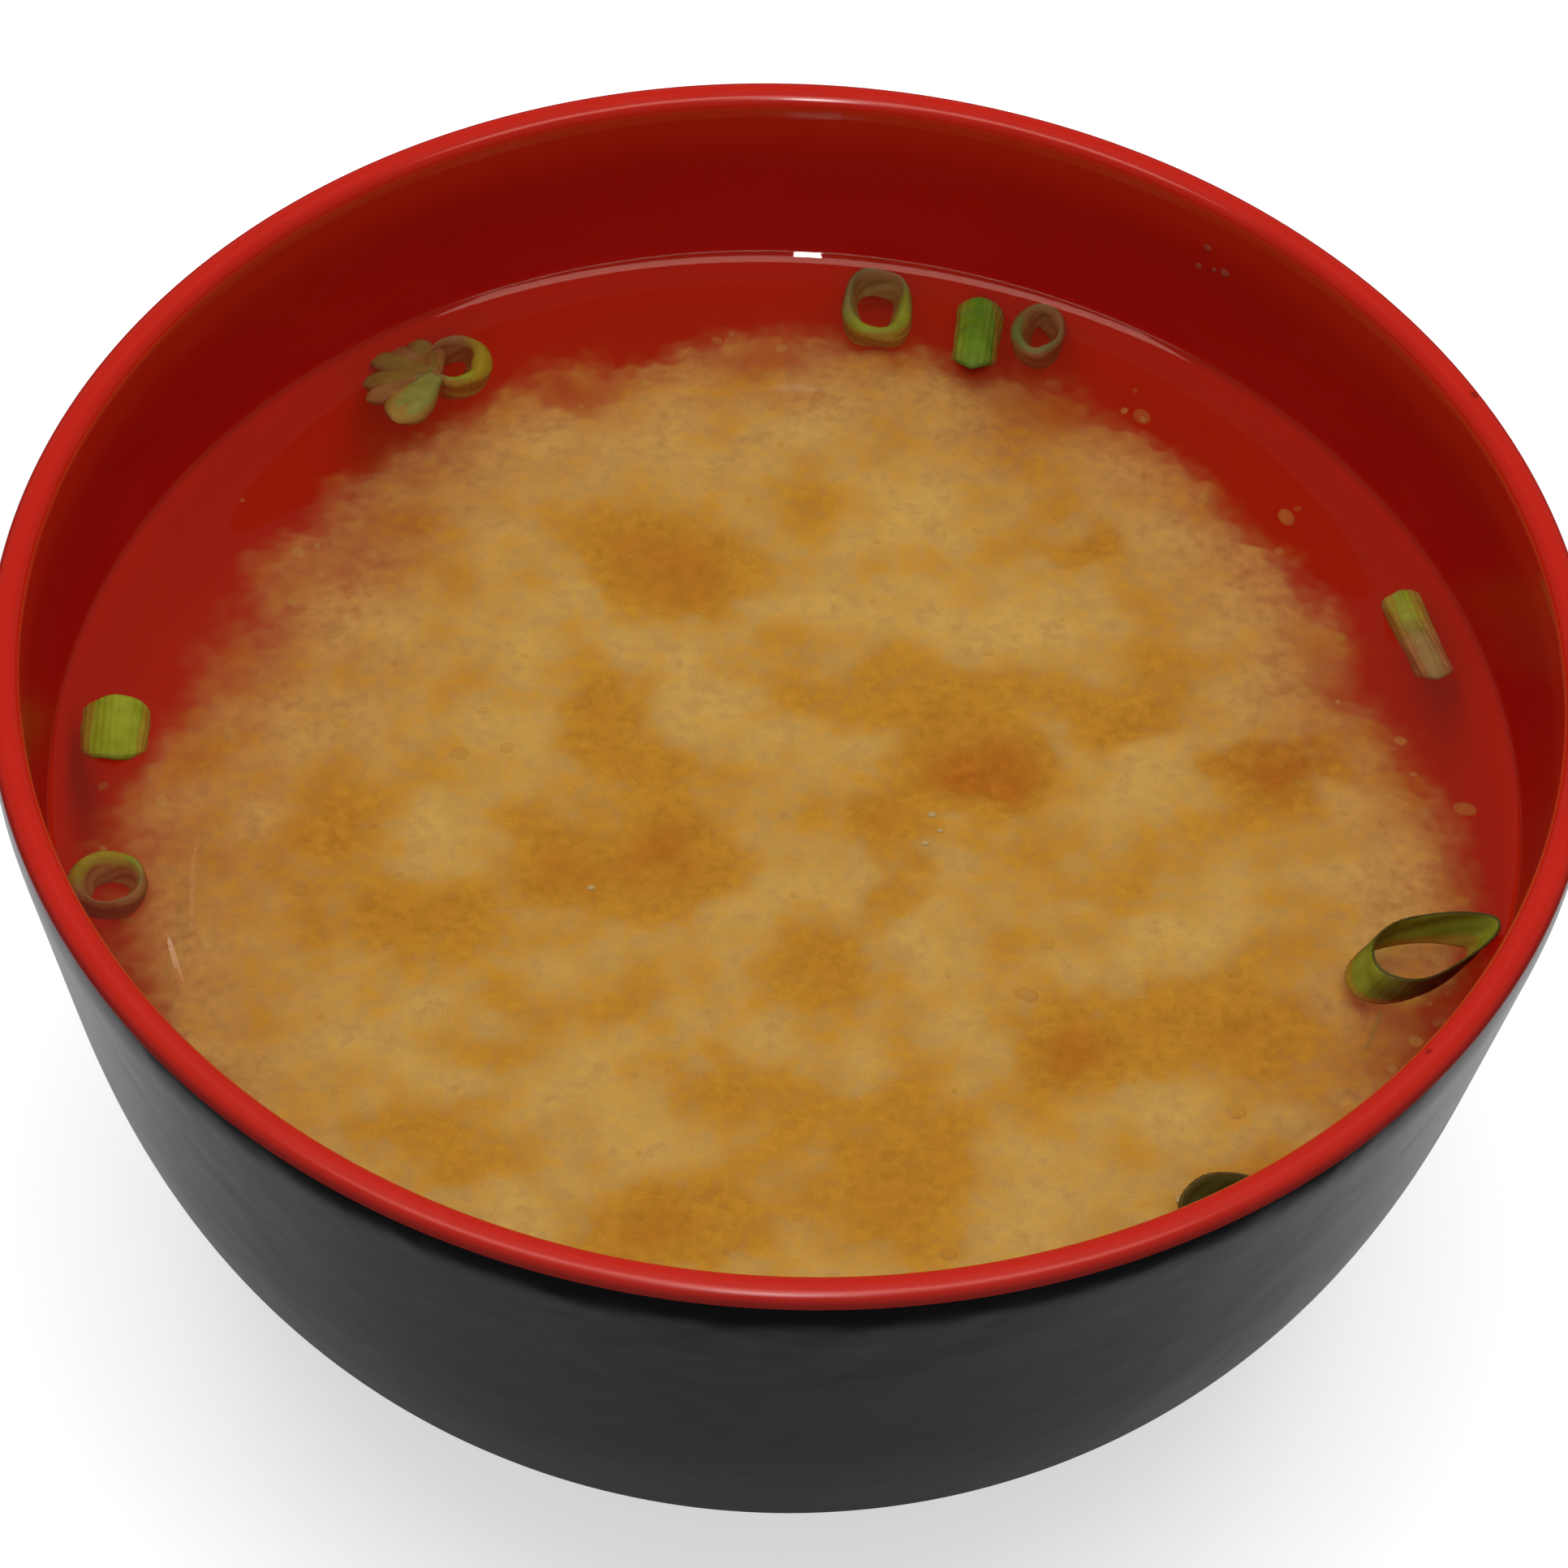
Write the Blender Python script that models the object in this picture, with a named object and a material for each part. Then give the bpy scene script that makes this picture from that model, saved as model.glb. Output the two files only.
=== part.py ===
"""Miso soup in its lacquered bowl, with sliced spring onion floating near the wall.

Metres, +Z up. The foot stands on z = 0 and the bowl turns about the Z axis. The bowl, the broth and
each slice of onion are separate closed solids with a small gap between them.
"""

import math

import bmesh
import bpy
from mathutils import Vector

MM = 0.001
SEGMENTS = 64
GAP = 0.3 * MM
MERGE_DISTANCE = 0.001 * MM
SHARP_ANGLE = math.radians(50.0)

# Bowl, outside
LIP_RADIUS = 59.0 * MM
BOWL_HEIGHT = 60.2 * MM
LIP_THICKNESS = 2.5 * MM
LIP_STEPS = 6
SHOULDER_DROP = 1.8 * MM
WALL_DRAFT = math.radians(11.4)
WALL_DROP = 20.0 * MM
BELLY_STEPS = 7
BELLY_UPPER_PULL = 15.3 * MM
BELLY_LOWER_PULL = 16.8 * MM
BELLY_BASE_SLOPE = math.radians(12.0)
FOOT_TOP_RADIUS = 30.0 * MM
FOOT_TOP_HEIGHT = 5.5 * MM
FOOT_BASE_RADIUS = 28.8 * MM
FOOT_WIDTH = 3.0 * MM
FOOT_RECESS = 3.6 * MM

# Bowl, inside
WALL_THICKNESS = 1.4 * MM
LIP_FADE = 12.0 * MM

# Broth: its edge climbs the wall in a capillary curve
BROTH_DROP = 16.05 * MM
CAPILLARY_LENGTH = 2.25 * MM
CONTACT_SLOPE = math.radians(50.0)
MENISCUS_STEPS = 4

LIP_AXIS_RADIUS = LIP_RADIUS - LIP_THICKNESS / 2
LIP_AXIS_HEIGHT = BOWL_HEIGHT - LIP_THICKNESS / 2
BROTH_LEVEL = LIP_AXIS_HEIGHT - BROTH_DROP

# Onion
EDGE_BEVEL = 0.25 * MM
POCKET_TOP = 5.0 * MM
OUTLINE_THIRD = 0.6
FAN_SPREAD = math.radians(118.0)
FAN_STEPS = 16
FAN_FINGERS = 4
FAN_REACH = 5.2 * MM
FAN_LONGEST_AT = 0.35
FAN_FALL = 0.25
FAN_NOTCH = 0.2
FAN_ROOT = 0.5 * MM
FAN_GROOVE = 0.5 * MM
FAN_DEPTH = 1.6 * MM

BOWL_COLOUR = (0.34, 0.012, 0.006)
BROTH_COLOUR = (0.42, 0.22, 0.06)
LEAF_GREEN = (0.20, 0.24, 0.03)
DARK_GREEN = (0.07, 0.08, 0.015)
PALE_GREEN = (0.42, 0.38, 0.12)
BOWL_ROUGHNESS = 0.2
BROTH_ROUGHNESS = 0.1
ONION_ROUGHNESS = 0.35


def clear_scene():
    for scene_object in list(bpy.data.objects):
        bpy.data.objects.remove(scene_object, do_unlink=True)


def make_material(name, colour, roughness):
    material = bpy.data.materials.new(name)
    material.use_nodes = True
    shader = material.node_tree.nodes["Principled BSDF"]
    shader.inputs["Base Color"].default_value = (*colour, 1.0)
    shader.inputs["Roughness"].default_value = roughness
    shader.inputs["Metallic"].default_value = 0.0
    return material


def add_object(name, bm, material):
    """Makes an object from a closed bmesh, its faces turned outwards and its round sides smooth."""
    bmesh.ops.recalc_face_normals(bm, faces=bm.faces)
    mesh = bpy.data.meshes.new(name)
    bm.to_mesh(mesh)
    bm.free()
    mesh.shade_smooth()
    mesh.set_sharp_from_angle(angle=SHARP_ANGLE)
    mesh.materials.append(material)
    new_object = bpy.data.objects.new(name, mesh)
    bpy.context.collection.objects.link(new_object)
    return new_object


# Profiles are lists of (radius, height)


def arc(centre, radius, start, end, steps):
    """Points on a circle between two angles above the outward direction."""
    points = []
    for step in range(steps + 1):
        angle = start + (end - start) * step / steps
        points.append((centre[0] + radius * math.cos(angle), centre[1] + radius * math.sin(angle)))
    return points


def bezier(start, start_pull, end_pull, end, steps):
    """Points on a cubic curve between two ends with their handles."""
    corners = (start, start_pull, end_pull, end)
    points = []
    for step in range(steps + 1):
        t = step / steps
        weights = ((1 - t) ** 3, 3 * t * (1 - t) ** 2, 3 * t * t * (1 - t), t**3)
        points.append(tuple(sum(w * p[axis] for w, p in zip(weights, corners)) for axis in (0, 1)))
    return points


def outer_wall():
    """The wall's outside from under the lip to the top of the foot."""
    shoulder = (LIP_RADIUS, LIP_AXIS_HEIGHT - SHOULDER_DROP)

    def on_wall(drop):
        return (LIP_RADIUS - (drop - SHOULDER_DROP) * math.tan(WALL_DRAFT), LIP_AXIS_HEIGHT - drop)

    wall_end = on_wall(WALL_DROP)
    base = (FOOT_TOP_RADIUS, FOOT_TOP_HEIGHT)
    upper_pull = (
        wall_end[0] - BELLY_UPPER_PULL * math.sin(WALL_DRAFT),
        wall_end[1] - BELLY_UPPER_PULL * math.cos(WALL_DRAFT),
    )
    lower_pull = (
        base[0] + BELLY_LOWER_PULL * math.cos(BELLY_BASE_SLOPE),
        base[1] + BELLY_LOWER_PULL * math.sin(BELLY_BASE_SLOPE),
    )
    belly = bezier(wall_end, upper_pull, lower_pull, base, BELLY_STEPS)
    return [shoulder, on_wall(LIP_FADE)] + belly


def inner_wall(clearance):
    """The wall's inside from the lip down to the floor, moved inwards by a clearance."""
    outside = outer_wall()
    floor_end = (0.0, outside[-1][1])
    inside = [(LIP_RADIUS - LIP_THICKNESS - clearance, LIP_AXIS_HEIGHT)]
    for before, here, after in zip(outside, outside[1:], outside[2:] + [floor_end]):
        along = Vector((after[0] - before[0], after[1] - before[1])).normalized()
        offset = WALL_THICKNESS + clearance
        inside.append((here[0] + along.y * offset, here[1] - along.x * offset))
    return inside


def radius_at(wall, height):
    """The radius of a wall at a given height."""
    for upper, lower in zip(wall, wall[1:]):
        if lower[1] <= height <= upper[1]:
            share = (upper[1] - height) / (upper[1] - lower[1])
            return upper[0] + (lower[0] - upper[0]) * share
    return wall[-1][0]


def bowl_profile():
    lip = arc((LIP_AXIS_RADIUS, LIP_AXIS_HEIGHT), LIP_THICKNESS / 2, math.pi, 0.0, LIP_STEPS)
    foot = [
        (FOOT_BASE_RADIUS, 0.0),
        (FOOT_BASE_RADIUS - FOOT_WIDTH, 0.0),
        (FOOT_BASE_RADIUS - FOOT_WIDTH, FOOT_RECESS),
        (0.0, FOOT_RECESS),
    ]
    inside = inner_wall(0.0)
    floor_centre = [(0.0, inside[-1][1])]
    return floor_centre + inside[:0:-1] + lip + outer_wall() + foot


def meniscus_rise(slope):
    """How far the broth's edge has climbed where its surface slopes by a given angle."""
    return 2 * CAPILLARY_LENGTH * math.sin(slope / 2)


def meniscus_run(rise):
    """The distance from the wall at which the capillary curve has a given rise."""
    contact = meniscus_rise(CONTACT_SLOPE)
    double = 2 * CAPILLARY_LENGTH
    spread = math.acosh(double / rise) - math.acosh(double / contact)
    bend = math.sqrt(4 - (contact / CAPILLARY_LENGTH) ** 2) - math.sqrt(4 - (rise / CAPILLARY_LENGTH) ** 2)
    return CAPILLARY_LENGTH * (spread + bend)


def broth_profile():
    wall = inner_wall(GAP)
    contact_height = BROTH_LEVEL + meniscus_rise(CONTACT_SLOPE)
    contact_radius = radius_at(wall, contact_height)
    surface = []
    for step in range(MENISCUS_STEPS):
        rise = meniscus_rise(CONTACT_SLOPE * (1 - step / MENISCUS_STEPS))
        surface.append((contact_radius - meniscus_run(rise), BROTH_LEVEL + rise))
    flat_radius = surface[-1][0] - CAPILLARY_LENGTH
    submerged = [point for point in wall if point[1] < contact_height]
    top = [(0.0, BROTH_LEVEL), (flat_radius, BROTH_LEVEL)]
    return top + surface[::-1] + submerged + [(0.0, submerged[-1][1])]


def turned(name, profile, material):
    """Spins a profile that starts and ends on the Z axis into a closed solid."""
    bm = bmesh.new()
    chain = [bm.verts.new((radius, 0.0, height)) for radius, height in profile]
    edges = [bm.edges.new(pair) for pair in zip(chain, chain[1:])]
    bmesh.ops.spin(
        bm,
        geom=chain + edges,
        cent=(0.0, 0.0, 0.0),
        axis=(0.0, 0.0, 1.0),
        angle=2 * math.pi,
        steps=SEGMENTS,
        use_merge=True,
    )
    bmesh.ops.remove_doubles(bm, verts=bm.verts, dist=MERGE_DISTANCE)
    return add_object(name, bm, material)


# Onion slices. A slice's own Z axis runs along the leaf's tube, from its lower to its upper end.


def outline_point(angle, slice_shape):
    """A point on a slice's uneven oval; egg narrows the end that lies towards +X."""
    phase = slice_shape["phase"]
    waves = math.sin(2 * angle + phase) + OUTLINE_THIRD * math.sin(3 * angle + 2 * phase)
    swell = 1 + slice_shape["unevenness"] * waves
    x = slice_shape["half_long"] * math.cos(angle) * swell
    y = slice_shape["half_wide"] * math.sin(angle) * (1 - slice_shape["egg"] * math.cos(angle)) * swell
    return Vector((x, y, 0.0))


def swept_loops(bm, slice_shape, section):
    """Copies an (inset, height) section round a slice's outline and joins each copy to the next."""
    loops = []
    for side in range(slice_shape["sides"]):
        rim = outline_point(2 * math.pi * side / slice_shape["sides"], slice_shape)
        inward = -rim.normalized()
        up = Vector((0.0, 0.0, 1.0))
        loops.append([bm.verts.new(rim + inward * inset + up * height) for inset, height in section])
    for loop, following in zip(loops, loops[1:] + loops[:1]):
        for step in range(len(section) - 1):
            bm.faces.new((loop[step], following[step], following[step + 1], loop[step + 1]))
    return loops


def place(slice_object, position, top, heading, tilt):
    """Puts a slice at a place on the broth, its upper end or its top side at a height above it."""
    slice_object.location = (position[0], position[1], BROTH_LEVEL + top)
    slice_object.rotation_euler = (tilt[0], tilt[1], heading)


def tube_slice(name, slice_shape, material):
    """A slice of leaf: a short tube with bevelled rims."""
    wall = slice_shape["wall"]
    length = slice_shape["length"]
    section = [
        (0.0, EDGE_BEVEL - length),
        (0.0, -EDGE_BEVEL),
        (EDGE_BEVEL, 0.0),
        (wall - EDGE_BEVEL, 0.0),
        (wall, -EDGE_BEVEL),
        (wall, EDGE_BEVEL - length),
        (wall - EDGE_BEVEL, -length),
        (EDGE_BEVEL, -length),
    ]
    bm = bmesh.new()
    swept_loops(bm, slice_shape, section + section[:1])
    bmesh.ops.remove_doubles(bm, verts=bm.verts, dist=MERGE_DISTANCE)
    return add_object(name, bm, material)


def ring_pocket(name, slice_shape, material):
    """The room that an upright slice takes up in the broth, open at the top."""
    wall = slice_shape["wall"]
    floor = -slice_shape["length"] - GAP
    section = [(-GAP, floor), (-GAP, POCKET_TOP), (wall + GAP, POCKET_TOP), (wall + GAP, floor)]
    bm = bmesh.new()
    swept_loops(bm, slice_shape, section + section[:1])
    bmesh.ops.remove_doubles(bm, verts=bm.verts, dist=MERGE_DISTANCE)
    return add_object(name, bm, material)


def tube_pocket(name, slice_shape, material):
    """The room that a slice lying on its side takes up in the broth."""
    floor = -slice_shape["length"] - GAP
    bm = bmesh.new()
    loops = swept_loops(bm, slice_shape, [(-GAP, floor), (-GAP, GAP)])
    bm.faces.new([loop[0] for loop in loops])
    bm.faces.new([loop[1] for loop in loops])
    return add_object(name, bm, material)


def fan_mesh(bm, margin, crown, floor, groove):
    """A fan of leaf ends: a slab with ridged fingers, its apex at the origin, spread about +X."""
    rims = []
    for step in range(FAN_STEPS + 1):
        share = step / FAN_STEPS
        angle = FAN_SPREAD * (share - 0.5)
        finger = abs(math.sin(math.pi * FAN_FINGERS * share))
        fall = 1 - FAN_FALL * abs(share - FAN_LONGEST_AT)
        reach = FAN_REACH * (1 - FAN_NOTCH * (1 - finger)) * fall + margin
        rims.append((Vector((reach * math.cos(angle), reach * math.sin(angle), 0.0)), finger))
    back = Vector((-FAN_ROOT - margin, 0.0, 0.0))
    lower = [bm.verts.new(back + Vector((0.0, 0.0, floor)))]
    upper = [bm.verts.new(back + Vector((0.0, 0.0, crown)))]
    for rim, finger in rims:
        lower.append(bm.verts.new(rim + Vector((0.0, 0.0, floor))))
        upper.append(bm.verts.new(rim + Vector((0.0, 0.0, crown - groove * (1 - finger)))))
    hub = bm.verts.new(Vector((0.0, 0.0, crown)))
    count = len(lower)
    for here in range(count):
        after = (here + 1) % count
        bm.faces.new((lower[here], lower[after], upper[after], upper[here]))
        bm.faces.new((upper[here], upper[after], hub))
    bm.faces.new(lower)


def cut_pocket(broth, pocket):
    pocket.hide_render = True
    pocket.display_type = "WIRE"
    cut = broth.modifiers.new("cut_" + pocket.name, "BOOLEAN")
    cut.operation = "DIFFERENCE"
    cut.object = pocket


def shape(half_long, half_wide, wall, length, phase, egg=0.0, unevenness=0.03, sides=20):
    """The sizes of one slice in metres, from millimetres."""
    return {
        "half_long": half_long * MM,
        "half_wide": half_wide * MM,
        "wall": wall * MM,
        "length": length * MM,
        "phase": phase,
        "egg": egg,
        "unevenness": unevenness,
        "sides": sides,
    }


def float_upright(name, broth, material, slice_shape, x, y, top, heading, lean=0.0):
    """Stands a slice in the broth, its upper rim above the surface."""
    tilt = (0.0, math.radians(lean))
    ring = tube_slice(name, slice_shape, material)
    place(ring, (x * MM, y * MM), top * MM, math.radians(heading), tilt)
    pocket = ring_pocket(name + "_pocket", slice_shape, material)
    place(pocket, (x * MM, y * MM), top * MM, math.radians(heading), tilt)
    cut_pocket(broth, pocket)


def float_on_side(name, broth, material, slice_shape, x, y, top, heading):
    """Lays a slice on its side in the broth; heading is where its upper end points."""
    tilt = (0.0, math.pi / 2)
    turn = math.radians(heading)
    shift = slice_shape["length"] / 2
    centre = (x * MM + shift * math.cos(turn), y * MM + shift * math.sin(turn))
    height = top * MM - slice_shape["half_long"]
    tube = tube_slice(name, slice_shape, material)
    place(tube, centre, height, turn, tilt)
    pocket = tube_pocket(name + "_pocket", slice_shape, material)
    place(pocket, centre, height, turn, tilt)
    cut_pocket(broth, pocket)


def float_fan(name, broth, material, x, y, top, heading):
    """Lays a fan of leaf ends in the broth."""
    bm = bmesh.new()
    fan_mesh(bm, 0.0, 0.0, -FAN_DEPTH, FAN_GROOVE)
    leaf = add_object(name, bm, material)
    place(leaf, (x * MM, y * MM), top * MM, math.radians(heading), (0.0, 0.0))
    bm = bmesh.new()
    fan_mesh(bm, GAP, POCKET_TOP, -FAN_DEPTH - GAP, 0.0)
    pocket = add_object(name + "_pocket", bm, material)
    place(pocket, (x * MM, y * MM), top * MM, math.radians(heading), (0.0, 0.0))
    cut_pocket(broth, pocket)


def main():
    clear_scene()
    turned("bowl", bowl_profile(), make_material("lacquer", BOWL_COLOUR, BOWL_ROUGHNESS))
    broth = turned("broth", broth_profile(), make_material("broth", BROTH_COLOUR, BROTH_ROUGHNESS))
    leaf = make_material("onion_leaf", LEAF_GREEN, ONION_ROUGHNESS)
    dark = make_material("onion_dark", DARK_GREEN, ONION_ROUGHNESS)
    pale = make_material("onion_pale", PALE_GREEN, ONION_ROUGHNESS)

    # Each place is in millimetres from the bowl's axis, and each top is above the broth's level
    float_upright("onion_ring_back", broth, leaf, shape(3.5, 2.9, 1.2, 3.0, 0.5), 4.9, 49.7, 0.35, 88)
    float_upright("onion_ring_small", broth, dark, shape(2.9, 2.1, 0.9, 2.6, 1.9), 17.3, 47.6, 0.4, 84)
    float_upright("onion_ring_back_left", broth, leaf, shape(2.8, 2.6, 1.0, 2.8, 3.0), -27.9, 42.3, 0.5, 80)
    float_upright("onion_ring_left", broth, dark, shape(3.3, 2.8, 1.0, 3.0, 4.1), -48.9, -12.0, 0.4, 82)
    float_upright(
        "onion_ring_right",
        broth,
        leaf,
        shape(5.4, 3.5, 0.9, 5.2, 5.2, egg=0.28, unevenness=0.02, sides=28),
        47.6,
        -12.3,
        3.4,
        21,
        lean=7,
    )
    float_upright(
        "onion_ring_front", broth, dark, shape(4.3, 3.5, 0.9, 4.6, 0.9, sides=24), 33.1, -36.6, 2.0, 8
    )
    float_on_side("onion_tube_back", broth, leaf, shape(2.1, 2.2, 0.8, 6.4, 2.2), 12.9, 48.4, 1.1, 85)
    float_on_side("onion_tube_right", broth, pale, shape(1.6, 1.7, 0.6, 8.0, 3.3), 47.6, 20.0, 0.7, 112)
    float_on_side("onion_tube_left", broth, leaf, shape(2.5, 2.8, 0.8, 5.2, 4.4), -50.4, 2.4, 1.2, 92)
    float_fan("onion_fan", broth, dark, -29.9, 38.9, 0.6, 188)


main()
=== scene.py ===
"""Miso soup in a lacquered bowl, with sliced spring onion floating near the wall.

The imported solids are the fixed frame. The bowl, the broth with its settled miso, and every slice of
onion are rebuilt here as finer meshes at the places of the solids that they stand for. Sizes in the
property groups are in metres. Inside the functions that shape a surface, lengths are in millimetres.
"""

import math

import bmesh
import bpy
import numpy as np
from mathutils import Matrix, Vector


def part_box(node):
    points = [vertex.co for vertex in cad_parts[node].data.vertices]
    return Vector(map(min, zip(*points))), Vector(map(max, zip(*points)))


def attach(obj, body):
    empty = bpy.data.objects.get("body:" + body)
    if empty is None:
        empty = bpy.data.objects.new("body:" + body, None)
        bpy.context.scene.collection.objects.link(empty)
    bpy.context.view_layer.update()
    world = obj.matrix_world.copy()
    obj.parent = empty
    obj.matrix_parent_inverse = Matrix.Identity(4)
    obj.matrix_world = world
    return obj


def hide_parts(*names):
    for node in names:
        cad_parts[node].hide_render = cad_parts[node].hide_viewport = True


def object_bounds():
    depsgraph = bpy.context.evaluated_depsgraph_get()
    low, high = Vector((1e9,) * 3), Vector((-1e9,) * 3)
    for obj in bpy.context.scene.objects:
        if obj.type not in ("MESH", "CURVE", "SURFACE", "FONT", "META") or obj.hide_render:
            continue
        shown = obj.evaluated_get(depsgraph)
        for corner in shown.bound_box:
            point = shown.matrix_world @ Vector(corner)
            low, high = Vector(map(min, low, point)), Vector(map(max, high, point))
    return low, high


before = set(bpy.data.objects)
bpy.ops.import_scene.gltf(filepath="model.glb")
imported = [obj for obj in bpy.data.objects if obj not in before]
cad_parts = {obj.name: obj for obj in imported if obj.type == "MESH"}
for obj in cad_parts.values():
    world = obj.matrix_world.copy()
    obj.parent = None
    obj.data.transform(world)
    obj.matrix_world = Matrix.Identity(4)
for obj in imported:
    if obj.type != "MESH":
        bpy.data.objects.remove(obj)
CAD_LOW, CAD_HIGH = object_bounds()

bl_info = {
    "name": "Miso Soup Bowl",
    "version": (1, 0, 0),
    "blender": (4, 5, 0),
    "location": "View3D > Sidebar > Miso Soup",
    "description": "Builds a lacquered bowl of miso soup with spring onion round its packed solids",
    "category": "Add Mesh",
}

MM = 0.001
ROOT = "root"
LATTICE = 97
BLACK = (0.0, 0.0, 0.0)
WHITE = (1.0, 1.0, 1.0)
UP = Vector((0.0, 0.0, 1.0))


# Settings


def number_setting(name, description, default, **options):
    return bpy.props.FloatProperty(name=name, description=description, default=default, **options)


def colour_setting(name, description, default):
    return bpy.props.FloatVectorProperty(
        name=name, description=description, default=default, subtype="COLOR", size=3, min=0.0, max=1.0
    )


class BowlSettings(bpy.types.PropertyGroup):
    """Sizes and colours of the bowl."""

    segments: bpy.props.IntProperty(name="Segments", description="Steps round the bowl", default=256, min=64)
    lip_thickness: number_setting("Lip Thickness", "Width of the rounded lip", 0.0025, unit="LENGTH")
    wall_thickness: number_setting("Wall Thickness", "Thickness of the wall", 0.0014, unit="LENGTH")
    wall_draft: number_setting("Wall Draft", "Lean of the upper wall", math.radians(11.4), unit="ROTATION")
    red: colour_setting("Inside Lacquer", "Colour inside and over the lip", (0.50, 0.0115, 0.0030))
    # Painted shade: the lip's red darkened on the inside wall below the lip, where less light reaches.
    shaded_wall_red: colour_setting("Wall Lacquer", "Colour of the inside below the lip", (0.385, 0.0022, 0.0005))
    # Painted light: the red made brighter where the broth covers the wall, standing in for light scattered in the
    # broth.
    wet_lit_red: colour_setting("Wetted Lacquer", "Colour inside where the broth wets it", (0.70, 0.0078, 0.0010))
    # Painted shade: the lip's red darkened where it turns under.
    shaded_red: colour_setting("Shaded Lacquer", "Colour of the lip where it turns under", (0.20, 0.0045, 0.0015))
    black: colour_setting("Outside Lacquer", "Colour of the outside", (0.004, 0.004, 0.004))


class BrothSettings(bpy.types.PropertyGroup):
    """Sizes and colours of the clear broth and of the miso settled in it."""

    capillary: number_setting("Capillary Length", "Reach of the curved edge", 0.00225, unit="LENGTH")
    contact: number_setting(
        "Contact Slope", "Slope of the surface where it meets the wall", math.radians(50.0), unit="ROTATION"
    )
    haze: number_setting("Haze", "Cloudiness of the clear broth", 0.09, subtype="FACTOR", min=0.0, max=1.0)
    # The haze is the broth's own cloudiness, tinted red as painted light that brightens the wall seen through it.
    haze_light_colour: colour_setting("Haze Colour", "Colour of the haze in the clear broth", (0.95, 0.09, 0.02))
    crest: colour_setting("Crest Colour", "Colour of the miso where it rises highest", (0.49, 0.365, 0.105))
    slope: colour_setting("Slope Colour", "Colour of the miso on the way into a hollow", (0.40, 0.226, 0.017))
    hollow: colour_setting("Hollow Colour", "Colour of the miso in its deepest hollows", (0.315, 0.118, 0.003))


class OnionSettings(bpy.types.PropertyGroup):
    """Sizes of the spring onion's finer forms."""

    rib_height: number_setting("Rib Height", "Height of the leaf's ribs", 0.000025, unit="LENGTH")
    sides: bpy.props.IntProperty(name="Sides", description="Steps round a slice", default=132, min=24)
    rows: bpy.props.IntProperty(name="Rows", description="Steps along a slice", default=18, min=4)
    deep: colour_setting("Deep", "Darkest olive of the cut leaf", (0.062, 0.046, 0.003))
    # Painted shade: a leaf colour darkened and reddened as in the bowl's shade, used on the shaded parts of slices.
    brown: colour_setting("Brown", "Leaf in the bowl's red shade", (0.075, 0.042, 0.004))
    olive: colour_setting("Olive", "Dull olive leaf", (0.105, 0.115, 0.016))
    khaki: colour_setting("Khaki", "Brownish cut edge", (0.157, 0.101, 0.029))
    ochre: colour_setting("Ochre", "Leaf stained by the miso", (0.200, 0.105, 0.019))
    green: colour_setting("Green", "Fresh green leaf", (0.085, 0.175, 0.004))
    yellow: colour_setting("Yellow Green", "Yellowish leaf", (0.205, 0.215, 0.006))
    bright: colour_setting("Bright Green", "Lightest green leaf", (0.250, 0.290, 0.008))
    stalk: colour_setting("Stalk", "Pale green stalk", (0.215, 0.190, 0.030))
    tan: colour_setting("Tan", "Tan end of the stalk", (0.280, 0.145, 0.045))


class StageSettings(bpy.types.PropertyGroup):
    """Floor, light and camera."""

    floor: colour_setting("Floor Colour", "Colour of the floor", (0.72, 0.72, 0.72))
    sky: number_setting("Sky", "Strength of the light all round", 0.42)
    mirrored_sky: number_setting("Mirrored Sky", "Strength of the light all round in glossy surfaces", 0.16
    )
    overhead: number_setting("Overhead", "Strength of the wide soft light overhead", 2.6
    )
    key: number_setting("Key", "Strength of the lamp that glossy surfaces mirror", 4.4
    )
    elevation: number_setting("Camera Elevation", "Height of the view", math.radians(49.98), unit="ROTATION")
    roll: number_setting("Camera Roll", "Tilt of the view", math.radians(3.44), unit="ROTATION")
    distance: number_setting("Camera Distance", "Distance from the lip's centre", 0.5354, unit="LENGTH")
    lens: number_setting("Lens", "Focal length in millimetres", 167.7)


def settings(name):
    return getattr(bpy.context.scene, "miso_" + name)


# Shaping helpers


def smooth_step(low, high, value):
    share = np.clip((value - low) / (high - low), 0.0, 1.0)
    return share * share * (3 - 2 * share)


def hills(x, y, size, seed):
    """Gradient noise between about -1 and 1, with hills as wide as size."""
    angles = np.random.default_rng(seed).uniform(0.0, 2 * math.pi, (LATTICE, LATTICE))
    u = np.asarray(x) / size + LATTICE / 2
    v = np.asarray(y) / size + LATTICE / 2
    i = np.floor(u).astype(int)
    j = np.floor(v).astype(int)
    a = u - i
    b = v - j

    def corner(di, dj):
        angle = angles[(i + di) % LATTICE, (j + dj) % LATTICE]
        return np.cos(angle) * (a - di) + np.sin(angle) * (b - dj)

    fade_a = a**3 * (a * (6 * a - 15) + 10)
    fade_b = b**3 * (b * (6 * b - 15) + 10)
    low = corner(0, 0) * (1 - fade_a) + corner(1, 0) * fade_a
    high = corner(0, 1) * (1 - fade_a) + corner(1, 1) * fade_a
    return 1.6 * (low * (1 - fade_b) + high * fade_b)


def layered_hills(x, y, layers, seed):
    """Several hills on top of each other, each given as (height, size), with seeds that count up."""
    return sum(height * hills(x, y, size, seed + index) for index, (height, size) in enumerate(layers))


def turned_point(radius, angle, height):
    """A point at an angle round the axis; millimetres in, metres out."""
    return (radius * math.cos(angle) * MM, radius * math.sin(angle) * MM, height * MM)


def loop_faces(first, second, flipped=False):
    """Faces between two closed loops of vertices; a loop may be one vertex over and over."""
    corners = zip(first, first[1:] + first[:1], second[1:] + second[:1], second)
    return [tuple(dict.fromkeys((face[0], *face[:0:-1]) if flipped else face)) for face in corners]


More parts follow.
